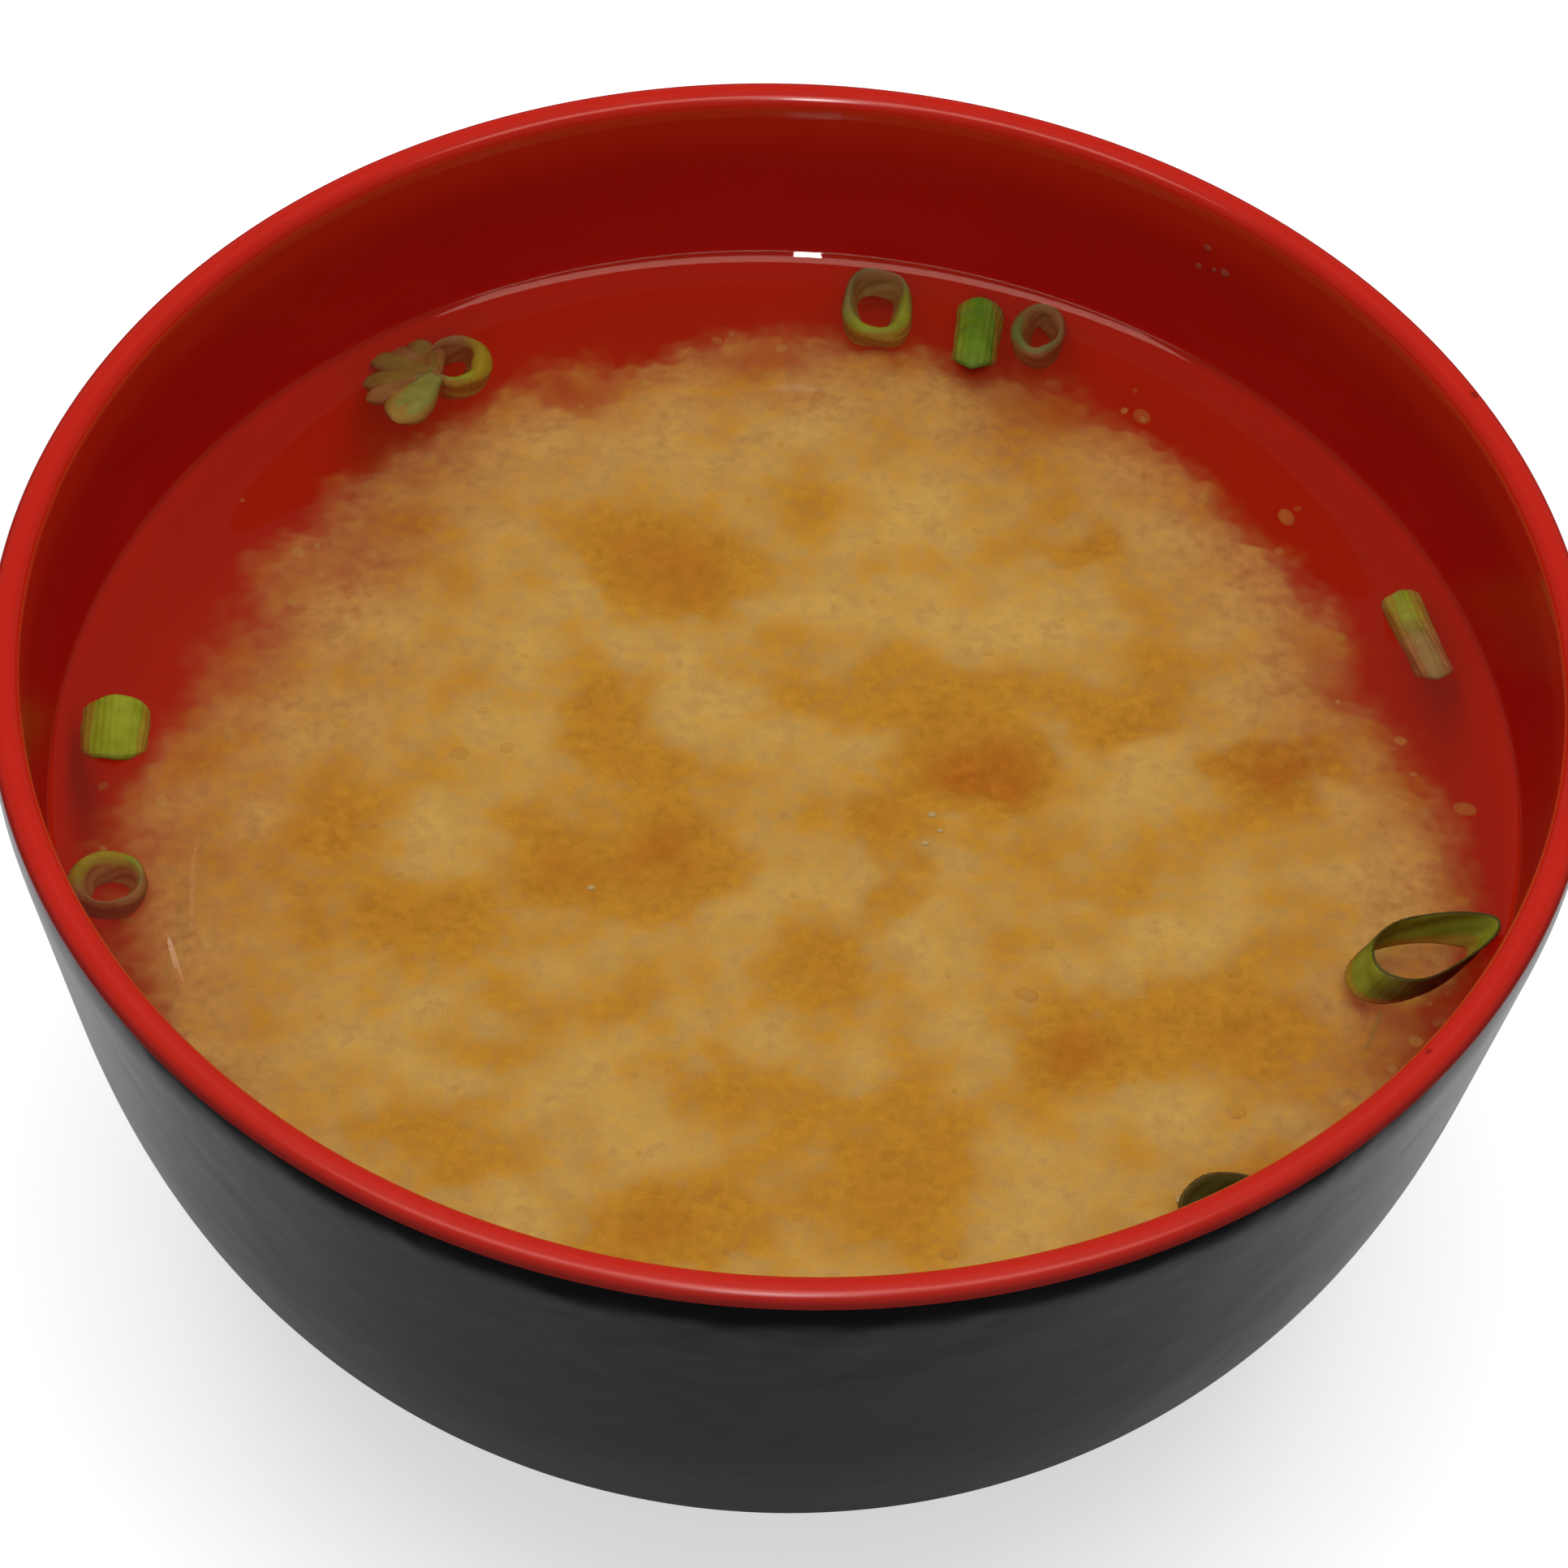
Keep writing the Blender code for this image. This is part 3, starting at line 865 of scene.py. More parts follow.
# Hollows in the miso: x, y, half width along x, along y, and depth as a share
HOLLOWS = (
    (-10.5, 25.0, 6.0, 4.6, 0.62), (-8.0, 20.5, 3.6, 2.6, 0.45), (-14.0, 8.5, 3.2, 4.2, 0.55),
    (-9.5, 4.0, 3.8, 2.8, 0.40), (-8.5, -4.5, 4.2, 4.4, 0.80), (-16.5, -6.5, 4.2, 3.4, 0.55),
    (-25.0, -12.5, 5.4, 3.4, 0.52), (3.0, 10.5, 5.0, 2.6, 0.28), (14.0, 12.5, 10.0, 3.4, 0.40),
    (26.0, 11.5, 6.0, 2.2, 0.36), (14.0, 5.0, 4.4, 3.6, 0.95), (9.0, -1.0, 2.6, 2.2, 0.55),
    (7.6, -7.0, 2.2, 4.0, 0.42), (4.0, -14.0, 4.4, 3.2, 0.50), (23.0, -21.0, 4.8, 4.0, 0.82),
    (29.0, -17.0, 4.0, 2.6, 0.42), (36.5, 6.5, 4.0, 2.8, 0.80), (9.5, -34.0, 5.2, 6.0, 0.55),
    (0.0, -27.0, 8.0, 2.4, 0.36), (-7.0, -40.0, 5.0, 3.4, 0.62), (-25.0, -32.0, 5.0, 3.0, 0.40),
    (-33.0, -4.0, 3.4, 3.6, 0.36), (-35.0, -15.0, 3.0, 3.0, 0.26), (-12.0, -19.0, 3.0, 3.4, 0.26),
    (22.0, 29.0, 3.4, 2.2, 0.42), (36.0, -19.0, 4.6, 4.4, 0.46), (35.0, -31.0, 3.0, 3.0, 0.30),
    (19.0, -2.0, 3.6, 2.6, 0.22), (25.0, -6.0, 4.6, 2.4, 0.26), (-20.0, -25.0, 5.0, 2.0, 0.20),
    (1.0, 30.0, 2.6, 2.0, 0.20),
)

# Thin places in the miso, where the red wall shows through: x, y, half widths, and share
THIN_PLACES = (
    (-34.5, 24.0, 4.6, 4.0, 0.42), (-44.0, 14.5, 5.0, 4.6, 0.60), (-48.0, 8.0, 4.0, 3.0, 0.40),
    (43.5, 16.0, 4.0, 3.4, 0.62), (37.0, 7.5, 3.4, 2.6, 0.20), (19.0, 44.0, 4.0, 2.6, 0.45),
    (14.0, 39.0, 4.0, 2.6, 0.18), (-20.0, 43.0, 4.0, 2.4, 0.55), (-30.0, 33.0, 4.0, 2.4, 0.24),
    (0.5, 43.0, 2.2, 1.6, 0.30), (-49.0, -15.0, 4.0, 5.0, 0.35), (45.0, -19.0, 4.0, 5.0, 0.35),
    (-4.0, 47.5, 5.0, 2.0, 0.40),
)


def soft_spots(x, y, spots):
    """The strongest of several soft oval spots at each point."""
    total = np.zeros_like(x)
    for centre_x, centre_y, half_x, half_y, share in spots:
        away = ((x - centre_x) / half_x) ** 2 + ((y - centre_y) / half_y) ** 2
        total = 1 - (1 - total) * (1 - share * np.exp(-SPOT_FALL * away**SPOT_POWER))
    return total


def clear_width(x, y):
    """Width of the clear broth at a point's bearing."""
    bearings = np.array([bearing for bearing, _ in CLEAR_WIDTHS] + [360.0])
    widths = np.array([width for _, width in CLEAR_WIDTHS] + [CLEAR_WIDTHS[0][1]])
    return np.interp(np.degrees(np.arctan2(y, x)) % 360.0, bearings, widths)


def miso_fields(x, y, wall_radius):
    """Depth below the surface in millimetres, cover from 0 to 1, and hollow from 0 to 1, at each point."""
    warp_x = x + layered_hills(x, y, WARP, 11)
    warp_y = y + layered_hills(x, y, WARP, 14)
    hollow = soft_spots(warp_x, warp_y, HOLLOWS)
    thin = soft_spots(warp_x, warp_y, THIN_PLACES)
    ragged = layered_hills(x, y, RAGGED_EDGE, 21)
    inward = wall_radius - np.hypot(x, y) - clear_width(x, y) + ragged
    front = smooth_step(*FRONT, -y / SOUP_HALF_WIDTH)
    left = smooth_step(*LEFT, -x / SOUP_HALF_WIDTH) * smooth_step(*LEFT_BACK, y / SOUP_HALF_WIDTH)
    growth = EDGE_GROWTH + EDGE_GROWTH_FRONT * front + EDGE_GROWTH_LEFT * left
    body = 1 - np.exp(-np.maximum(inward, 0.0) / growth)
    cover = smooth_step(-EDGE_FADE, EDGE_FADE, inward) * np.minimum(EDGE_COVER + BODY_COVER * body, 1.0)
    cover = cover * (1 - thin)
    relief = layered_hills(x, y, RELIEF, 31)
    depth = MISO_DEPTH + relief + HOLLOW_DEPTH * hollow + MISO_HIDDEN * (1 - cover) ** 1.5
    broad = np.clip(TONE_MIDDLE + layered_hills(x, y, TONE, 41), 0.0, TONE_LIMIT)
    return depth, cover, np.clip(hollow + broad * (1 - hollow), 0.0, 1.0)


def miso_material():
    """Cloudy miso: tan on its crests, amber in its hollows, thinning out in grains at its edge."""
    broth = settings("broth")
    material, tree, shader = new_material("settled_miso", Roughness=0.9, Specular_IOR_Level=0.0)
    parts = [add_math(tree, "SUBTRACT", part, 0.5) for part in add_grain(tree, *MISO_GRAIN)]

    def add_noise(value, shares):
        """Adds shares of the coarse and the fine noise to a value, and clamps the sum."""
        coarse, fine = [times(tree, part, share) for part, share in zip(parts, shares)]
        return plus(tree, plus(tree, value, coarse), fine, True)

    tone = add_noise(add_attribute(tree, "hollow"), TONE_NOISE)
    cloud = add_ramp(tree, tone, ((0.0, broth.crest), (SLOPE_TONE, broth.slope), (1.0, broth.hollow)))
    for values, strength, colour in FLECKS:
        fleck = place_group(tree, fleck_group(), **values)
        cloud = add_mix(tree, times(tree, fleck.outputs["Mask"], strength), cloud, colour)
    darker = add_mix(tree, MOTTLE_DARK, cloud, BLACK)
    lighter = add_mix(tree, MOTTLE_PALE[0], cloud, MOTTLE_PALE[1])
    tree.links.new(add_mix(tree, add_noise(0.5, MOTTLE_NOISE), darker, lighter), shader.inputs["Base Color"])
    cover = add_attribute(tree, "cover")
    room = times(tree, cover, add_math(tree, "SUBTRACT", 1.0, cover))
    ragged = [times(tree, part, share) for part, share in zip(parts, ALPHA_NOISE)]
    spread = times(tree, plus(tree, *ragged), room)
    tree.links.new(plus(tree, cover, spread, True), shader.inputs["Alpha"])
    relief = add_node(tree, "ShaderNodeTexNoise", Scale=MISO_RELIEF_SCALE, Detail=0.0)
    tree.links.new(add_bump(tree, relief.outputs["Fac"], MISO_RELIEF, 0.4), shader.inputs["Normal"])
    return material


class MISO_OT_miso(bpy.types.Operator):
    """Settles the miso: a lumpy cloud a little below the surface"""

    bl_idname = "miso.miso"
    bl_label = "Settle Miso"

    def execute(self, context):
        level = broth_level()
        rim_radius = radius_at(inner_curve(), level - MISO_RIM_DEPTH) + SKIN_DEPTH
        unit_x, unit_y = disc_grid(MISO_CELLS)
        x = unit_x * rim_radius
        y = unit_y * rim_radius
        depth, cover, hollow = miso_fields(x, y, rim_radius)
        top = level - np.maximum(depth, MISO_SHALLOWEST)
        walls = [point for point in broth_walls() if point[1] < level - MISO_SIDE_DEPTH]
        points, faces = liquid_body(MISO_CELLS, x, y, top, walls)
        extra = len(points) - len(x)
        fields = {
            "cover": np.concatenate((cover, np.zeros(extra))),
            "hollow": np.concatenate((hollow, np.zeros(extra))),
        }
        piece = make_piece("settled_miso", points, faces, (miso_material(),), fields)
        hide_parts("broth")
        return {"FINISHED"}


# Onion

EDGE_STEPS = 6
EDGE_ROUNDING = 0.45
RIB_SPACING = 0.62
INNER_RIBS = 0.4
CUT_WAVE = 0.08
OUTLINE_WAVE = 0.03
OUTLINE_THIRD = 0.6
WALL_WAVE = 0.12
WALL_TAPER = 0.18
FLARE = 0.02
DENTS = (0.06, 0.035)
LAY_STRETCH = 0.10

# The slices. half: half length and half width of the outline; turn: its heading in degrees; shift: its middle
# from the middle of its solid; drop: its top from its solid's top; tilt: rise of the +Y side for each millimetre;
# skew: how far the top is pushed over from the base; egg: how much one end is drawn out to a point;
# slant: undercut of the near end of a lying tube; square: how far the outline is squared; phase: shifts its waves;
# side: whether it lies on its side; fade: strength and colour of its far end; bands: number, strength and colour.
# skin, lit, inside, cut and cut_lit are colours; glow is the direction of painted light, in which skin goes to lit
# and cut to cut_lit.
# heavy: heading in which the wall is thicker, and by what share.
SLICES = {
    "onion_ring_back": dict(
        slot="onion_leaf", half=(3.3, 2.9), wall=1.25, length=1.3, phase=0.5, turn=88, square=0.08, shift=(0.0, 1.5),
        tilt=0.13, drop=0.10, skin="olive", lit="yellow", glow=(0.3, -0.8, 0), inside="olive", cut="khaki",
        cut_lit="yellow", heavy=(-75, 0.22),
    ),
    "onion_ring_small": dict(
        slot="onion_dark", half=(2.6, 2.15), wall=1.15, length=1.2, phase=1.9, turn=84, shift=(0.5, 1.9),
        tilt=0.13, drop=0.05, skin="brown", lit="olive", glow=(-0.5, 0.1, 0), inside="deep", cut="khaki",
        cut_lit="olive", heavy=(180, 0.15),
    ),
    "onion_ring_back_left": dict(
        slot="onion_leaf", half=(2.75, 2.5), wall=1.25, length=1.4, phase=3.0, turn=80, shift=(0.1, 0.5),
        drop=-0.15, skin="olive", lit="yellow", glow=(0.9, -0.3, 0), inside="deep", cut="khaki",
        cut_lit="yellow", heavy=(-5, 0.42),
    ),
    "onion_ring_left": dict(
        slot="onion_dark", half=(2.8, 2.85), wall=1.30, length=1.3, phase=4.1, turn=82, shift=(-0.8, 0.3),
        drop=-0.15, skin="brown", lit="olive", glow=(-0.4, 0.8, 0), inside="ochre", cut="khaki",
        cut_lit="yellow", heavy=(120, 0.30),
    ),
    "onion_ring_right": dict(
        slot="onion_leaf", half=(5.35, 2.65), wall=0.30, length=2.6, phase=5.2, turn=26, egg=0.40, shift=(1.6, 0.85),
        drop=-1.6, skew=(2.1, 0.6), skin="brown", lit="yellow", glow=(-1.0, -0.35, 0), inside="yellow", cut="deep",
    ),
    "onion_ring_front": dict(
        slot="onion_dark", half=(3.6, 3.2), wall=0.60, length=3.2, phase=0.9, turn=8, shift=(0.3, -0.5),
        skin="deep", lit="olive", glow=(-0.4, 0, 0), inside="olive", cut="brown",
    ),
    "onion_tube_back": dict(
        slot="onion_leaf", half=(1.9, 1.85), wall=0.6, length=5.0, phase=2.2, turn=85, side=True, slant=0.95,
        shift=(0.1, 0.9), skin="green", lit="bright", glow=(-0.3, 0, 0.1), inside="olive", cut="green",
        bands=(3, 0.4, "olive"),
    ),
    "onion_tube_right": dict(
        slot="onion_pale", half=(1.45, 1.5), wall=0.45, length=7.4, phase=3.3, turn=110, side=True, slant=0.95,
        shift=(0.1, 0.4), skin="stalk", lit="bright", glow=(0, 0, 0.8), inside="tan", cut="stalk",
        fade=(1.0, "tan"), bands=(7, 0.45, "ochre"),
    ),
    "onion_tube_left": dict(
        slot="onion_leaf", half=(2.2, 2.45), wall=0.6, length=3.6, phase=4.4, turn=92, side=True, slant=0.95,
        shift=(-0.3, 0.8), skin="yellow", lit="bright", glow=(0.1, 0, 0.8), inside="olive", cut="yellow",
    ),
}


# Kinds of a slice's surface
OUTER, CUT, INNER = range(3)


def leaf_colour(name):
    return np.array(getattr(settings("onion"), name))


def blend(first, second, share):
    return first * (1 - share) + second * share


def outline(angle, values):
    """A slice's outline: an oval, a little uneven, squared or drawn out to a point at its +X end."""
    phase = values["phase"]
    swell = 1 + OUTLINE_WAVE * (np.sin(2 * angle + phase) + OUTLINE_THIRD * np.sin(3 * angle + 2 * phase))
    swell = swell - values.get("square", 0.0) * np.cos(4 * angle) * 0.5
    x = values["half"][0] * np.cos(angle) * swell
    y = values["half"][1] * np.sin(angle) * (1 - values.get("egg", 0.0) * np.cos(angle)) * swell
    return np.stack((x, y), axis=-1)


def section_rows(rows):
    """The closed section of a slice's wall as (share across, share along, kind): outside, edge, inside, edge."""
    loop = [(0.0, -1 + 2 * row / rows, OUTER) for row in range(rows + 1)]
    loop += [(share, 1.0, CUT) for share in np.linspace(0.0, 1.0, EDGE_STEPS + 2)[1:-1]]
    loop += [(1.0, 1 - 2 * row / rows, INNER) for row in range(rows + 1)]
    loop += [(share, -1.0, CUT) for share in np.linspace(1.0, 0.0, EDGE_STEPS + 2)[1:-1]]
    return loop


def slice_body(values, sides, rows, rib_height):
    """A tube slice in its own frame, in millimetres, with its colour and its lay along the leaf."""
    angle = np.linspace(0.0, 2 * math.pi, sides, endpoint=False)
    base = outline(angle, values)
    ahead = outline(angle + 0.01, values) - outline(angle - 0.01, values)
    normal = np.stack((ahead[:, 1], -ahead[:, 0]), axis=-1)
    normal = normal / np.linalg.norm(normal, axis=1)[:, None]
    phase = values["phase"]
    ribs = round(math.pi * sum(values["half"]) / RIB_SPACING)
    rib = np.cos(ribs * angle + 1.2 * np.sin(3 * angle + phase)) + 0.5 * np.cos(2 * ribs * angle + phase)
    half_length = values["length"] / 2
    cut_top = CUT_WAVE * (np.sin(angle + 2.1 * phase) + 0.6 * np.sin(3 * angle + phase) + 0.3 * np.sin(7 * angle))
    cut_base = CUT_WAVE * (np.sin(angle + 0.7 * phase) + 0.5 * np.sin(4 * angle + 2 * phase))
    cut_base = cut_base + values.get("slant", 0.0) * base[:, 0]
    glow = Matrix.Rotation(-math.radians(values["turn"]), 3, "Z") @ Vector(values["glow"])
    if values.get("side"):
        glow = Matrix.Rotation(-math.pi / 2, 3, "Y") @ glow
    colours = [leaf_colour(values[key]) for key in ("skin", "cut", "inside")]
    # Painted light: the side of a slice that faces glow is painted in its lit colours.
    lit = np.clip(normal @ np.array(glow.xy) + 0.15 * np.sin(5 * angle + phase), 0.0, 1.0)[:, None]
    cut_lit = smooth_step(-0.7, 0.9, normal @ np.array(glow.xy) + 0.2 * np.sin(3 * angle + phase))[:, None]
    heading, share = values.get("heavy", (0.0, 0.0))
    heavy = share * np.cos(angle + math.radians(values["turn"] - heading))
    points, shades, lays = [], [], []
    for across, along, kind in section_rows(rows):
        wall = values["wall"] * (1 + WALL_WAVE * np.sin(3 * angle + 2 * phase) - WALL_TAPER * along + heavy)
        height = along * half_length + np.where(along > 0, cut_top, cut_base) * along**2
        if kind == CUT:
            height = height + math.sin(math.pi * across) * values["wall"] * EDGE_ROUNDING * along
        dent = DENTS[0] * np.sin(2.3 * along + 2 * angle + phase) + DENTS[1] * np.sin(5.1 * along + 5 * angle)
        offset = dent - across * wall + rib * rib_height * (1.0 if kind == OUTER else INNER_RIBS)
        place = base * (1 + FLARE * along) + normal * offset[:, None]
        shade = np.broadcast_to(colours[kind], (sides, 3))
        if kind == OUTER:
            shade = blend(shade, leaf_colour(values["lit"]), lit)
        if kind == CUT and "cut_lit" in values:
            shade = blend(shade, leaf_colour(values["cut_lit"]), cut_lit)
        if "fade" in values:
            end = smooth_step(-0.5, 0.5, -along) * values["fade"][0]
            shade = blend(shade, leaf_colour(values["fade"][1]), end)
        if "bands" in values:
            count, strength, other = values["bands"]
            band = 0.5 + 0.5 * np.cos(count * math.pi * (along + 1) + 0.9 * np.sin(angle + phase))
            shade = blend(shade, leaf_colour(other), (strength * band**3)[:, None])
        points.append(np.column_stack((place, height)))
        shades.append(shade)
        lays.append(np.column_stack((place, height * LAY_STRETCH)))
    rings = [list(range(row * sides, (row + 1) * sides)) for row in range(len(points))]
    faces = [face for pair in zip(rings, rings[1:] + rings[:1]) for face in loop_faces(*pair)]
    return np.concatenate(points), faces, np.concatenate(shades), np.concatenate(lays)


def float_at_solid(points, node, turn=0, side=False, shift=(0.0, 0.0), drop=0.0, skew=(0.0, 0.0), tilt=0.0):
    """Turns a slice to its heading and sets it at the middle and the top of its solid's box; metres out."""
    matrix = Matrix.Rotation(math.radians(turn), 3, "Z")
    if side:
        matrix = matrix @ Matrix.Rotation(math.pi / 2, 3, "Y")
    turned = points @ np.array(matrix).T
    share = (turned[:, 2] - turned[:, 2].max()) / (turned[:, 2].max() - turned[:, 2].min())
    turned[:, :2] += share[:, None] * np.array(skew)
    low, high = (np.array(corner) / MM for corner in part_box(node))
    turned[:, :2] += (low + high)[:2] / 2 + np.array(shift)
    turned[:, 2] += high[2] + drop - turned[:, 2].max()
    turned[:, 2] += tilt * (turned[:, 1] - turned[:, 1].min())
    return turned * MM


# Name, streakiness and roughness of the leaf's material, by slot
LEAVES = {
    "onion_leaf": ("green_onion_leaf", 0.25, 0.45),
    "onion_dark": ("dark_onion_leaf", 0.25, 0.50),
    "onion_pale": ("pale_onion_stalk", 0.2, 0.45),
}
PATCHINESS = 0.9
LEAF_CONTRAST = 0.30
LEAF_DARK = 0.24
LEAF_PALE = (0.03, (0.80, 0.80, 0.35))
LEAF_BUMP = 0.00006
LEAF_GRAIN = (1.6, 0.4)
LEAF_STREAK_SCALE = 2.2
LEAF_SHEEN = 0.25


def leaf_material(name, streakiness, roughness):
    """Leaf of the spring onion: fine lengthwise streaks, paler and darker patches, and a wet sheen."""
    found = bpy.data.materials.get(name)
    if found:
        return found
    material, tree, shader = new_material(name, Specular_IOR_Level=0.15)
    streaks = add_node(tree, "ShaderNodeTexNoise", Scale=LEAF_STREAK_SCALE, Detail=3.0, Roughness=0.55)
    tree.links.new(add_attribute(tree, "lay", "Vector"), streaks.inputs["Vector"])
    coarse, fine = add_grain(tree, *LEAF_GRAIN)
    light = times(tree, streaks.outputs["Fac"], streakiness)
    patch = times(tree, coarse, PATCHINESS)
    middle = (streakiness + PATCHINESS) / 2
    source = (middle - LEAF_CONTRAST, middle + LEAF_CONTRAST)
    tone = add_range(tree, plus(tree, light, patch), source, (0.0, 1.0))
    shade = add_attribute(tree, "shade", "Color")
    deeper = add_mix(tree, LEAF_DARK, shade, BLACK)
    paler = add_mix(tree, LEAF_PALE[0], shade, LEAF_PALE[1])
    tree.links.new(add_mix(tree, tone, deeper, paler), shader.inputs["Base Color"])
    rough = plus(tree, times(tree, fine, LEAF_SHEEN), roughness)
    tree.links.new(rough, shader.inputs["Roughness"])
    relief = plus(tree, streaks.outputs["Fac"], times(tree, fine, 0.3))
    tree.links.new(add_bump(tree, relief, LEAF_BUMP, 0.5), shader.inputs["Normal"])
    return material


def make_slices(lying):
    """Makes the upright rings or the tubes lying on their side."""
    onion = settings("onion")
    for node, values in SLICES.items():
        if values.get("side", False) != lying:
            continue
        points, faces, shades, lays = slice_body(values, onion.sides, onion.rows, onion.rib_height / MM)
        place = {key: values[key] for key in ("turn", "side", "shift", "drop", "skew", "tilt") if key in values}
        points = float_at_solid(points, node, **place)
        slot = values["slot"]
        name = node.replace("onion_", "leaf_")
        fields = {"shade": shades, "lay": lays}
        piece = make_piece(name, points, faces, (leaf_material(*LEAVES[slot]),), fields)
        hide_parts(node)


class MISO_OT_rings(bpy.types.Operator):
    """Floats the upright rings of onion"""

    bl_idname = "miso.rings"
    bl_label = "Float Onion Rings"

    def execute(self, context):
        make_slices(lying=False)
        return {"FINISHED"}


class MISO_OT_tubes(bpy.types.Operator):
    """Floats the short tubes of onion that lie on their side"""

    bl_idname = "miso.tubes"
    bl_label = "Float Onion Tubes"

    def execute(self, context):
        make_slices(lying=True)
        return {"FINISHED"}


# The fan's blades: heading in degrees, length, half width, lift, and colour
BLADES = (
    (100, 3.4, 1.00, -0.36, "khaki"),
    (122, 4.2, 1.05, -0.16, "olive"),
    (144, 4.9, 1.05, -0.30, "khaki"),
    (166, 5.4, 1.05, -0.10, "olive"),
    (188, 5.7, 1.02, -0.28, "olive"),
    (209, 5.9, 1.00, -0.12, "khaki"),
    (241, 5.7, 1.85, 0.00, "stalk"),
)
FAN_SHIFT = (0.3, 1.7)
FAN_DROP = -0.15
FAN_ROOT = 0.2
BLADE_ROWS = 26
BLADE_SIDES = 28
BLADE_THICKNESS = 0.5
BLADE_EDGE = 0.02
TIP_LENGTH = 0.28
ROOT_LENGTH = 0.08
ROOT_WIDTH = 0.42
GROOVE_DEPTH = 0.14
GROOVE_WIDTH = 0.28
VEIN_HEIGHT = 0.02
DROOP = 0.45
RIPPLE = 0.10
BEND = 0.12
LAY_ALONG = 0.12

# Painted shade: how much darker a blade is at its edges, in its groove near the root, and underneath
BLADE_PAINTED_SHADE = (0.95, 0.35, 0.5)


def blade_body(heading, length, half_width, lift, colour):
    """One closed blade of the fan: narrow at its root, rounded at its tip, with a groove along its middle."""
    points, shades, lays = [], [], []
    direction = math.radians(heading)
    colour = leaf_colour(colour)
    deep = leaf_colour("deep")
    for row in range(BLADE_ROWS + 1):
        reach = 1 - (1 - row / BLADE_ROWS) ** 1.5
        end = max(reach - 1 + TIP_LENGTH, 0.0) / TIP_LENGTH
        start = max(ROOT_LENGTH - reach, 0.0) / ROOT_LENGTH
        taper = math.sqrt(max(1 - start**2, 0.0))
        width = half_width * (ROOT_WIDTH + (1 - ROOT_WIDTH) * float(smooth_step(0.0, 0.6, reach)))
        width = max(width * math.sqrt(max(1 - end**2, 0.0)) * taper, BLADE_EDGE)
        depth = max(BLADE_THICKNESS * math.sqrt(max(1 - end**2.5, 0.0)) * taper, BLADE_EDGE)
        for step in range(BLADE_SIDES):
            angle = 2 * math.pi * step / BLADE_SIDES
            across = math.cos(angle) * width
            rise = math.sin(angle) * depth
            upper = max(math.sin(angle), 0.0)
            groove = math.exp(-((across / (GROOVE_WIDTH * half_width)) ** 2)) * upper
            veins = VEIN_HEIGHT * math.cos(9 * math.pi * across / half_width) * upper
            far = FAN_ROOT + reach * length
            droop = lift - DROOP * reach**2 + RIPPLE * math.sin(5 * reach + heading)
            side = across + BEND * math.sin(3 * reach + heading)
            x = far * math.cos(direction) - side * math.sin(direction)
            y = far * math.sin(direction) + side * math.cos(direction)
            points.append((x, y, droop + rise - GROOVE_DEPTH * groove + veins))
            # Painted shade at the blade's edges, in its groove and on its underside.
            parts = ((abs(across) / width) ** 3, groove * (1 - reach), rise < 0)
            blade_shade = min(sum(strength * part for strength, part in zip(BLADE_PAINTED_SHADE, parts)), 1.0)
            shades.append(blend(colour, deep, blade_shade))
            lays.append((far * LAY_ALONG, side, rise))
    rings = [list(range(row * BLADE_SIDES, (row + 1) * BLADE_SIDES)) for row in range(BLADE_ROWS + 1)]
    faces = [face for pair in zip(rings, rings[1:]) for face in loop_faces(*pair, flipped=True)]
    faces += [tuple(rings[0]), tuple(rings[-1][::-1])]
    return points, faces, shades, lays


class MISO_OT_fan(bpy.types.Operator):
    """Floats the fan of leaf ends"""

    bl_idname = "miso.fan"
    bl_label = "Float Onion Fan"

    def execute(self, context):
        points, faces, shades, lays = [], [], [], []
        for blade in BLADES:
            more = blade_body(*blade)
            faces += [tuple(vertex + len(points) for vertex in face) for face in more[1]]
            points += more[0]
            shades += more[2]
            lays += more[3]
        points = np.array(points)
        points -= (points.max(axis=0) + points.min(axis=0)) / 2
        points = float_at_solid(points, "onion_fan", shift=FAN_SHIFT, drop=FAN_DROP)
        fields = {"shade": np.array(shades), "lay": np.array(lays)}
        piece = make_piece("leaf_fan", points, faces, (leaf_material(*LEAVES["onion_dark"]),), fields)
        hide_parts("onion_fan")
        return {"FINISHED"}


# Grains, foam and marks

GRAIN_TRIES = 2600
GRAIN_SMALL = 0.22
GRAIN_GROWTH = 0.50
GRAIN_SQUASH = 0.35
GRAIN_STRETCH = 1.5
GRAIN_SPREAD = 0.93
GRAIN_LOWEST = 0.6
GRAIN_HIGHEST = 0.4
CRUMB_REACH = 5.0

# Chances that a tried grain stays: on the cloud, what the cloud's edge adds, and on the clear broth
CLOUD_CHANCE = 0.02
EDGE_CHANCE = 0.22
CRUMB_CHANCE = 0.025
CRUMB_COVER = 0.04

# Cover of a grain, its lowest and its span, where the cloud is thin and where it is thick
THICK_COVER = 0.75
THIN_GRAIN = (0.06, 0.16)
THICK_GRAIN = (0.10, 0.20)
GRAIN_TONE = (0.25, 0.5)

# Foam on the surface: x, y and half width in millimetres
FOAM = (
    (11.0, -1.0, 0.27),
    (11.7, -2.5, 0.20),
    (10.6, -3.8, 0.24),
    (-14.0, -10.0, 0.24),
    (30.1, -35.6, 0.40),
)
FOAM_RISE = 0.05
FOAM_STRETCH = 1.25
FOAM_SQUASH = 0.45

# Drops on the inside, painted pale as their highlight: bearing in degrees, height and half width in millimetres
DROP_HIGHLIGHTS = ((57.6, 55.5, 0.34), (55.7, 54.0, 0.42), (58.1, 53.3, 0.30), (56.7, 53.7, 0.22))
DROP_THICKNESS = 0.06

# Dark patches in the lip, painted as the shade of dimples: bearing in degrees, angle round the lip from outside, and
# half width in millimetres
DIMPLES = ((-36.6, 106.0, 0.32), (30.2, 72.0, 0.40))
DIMPLE_SINK = 0.03
DIMPLE_SHARE = 0.7

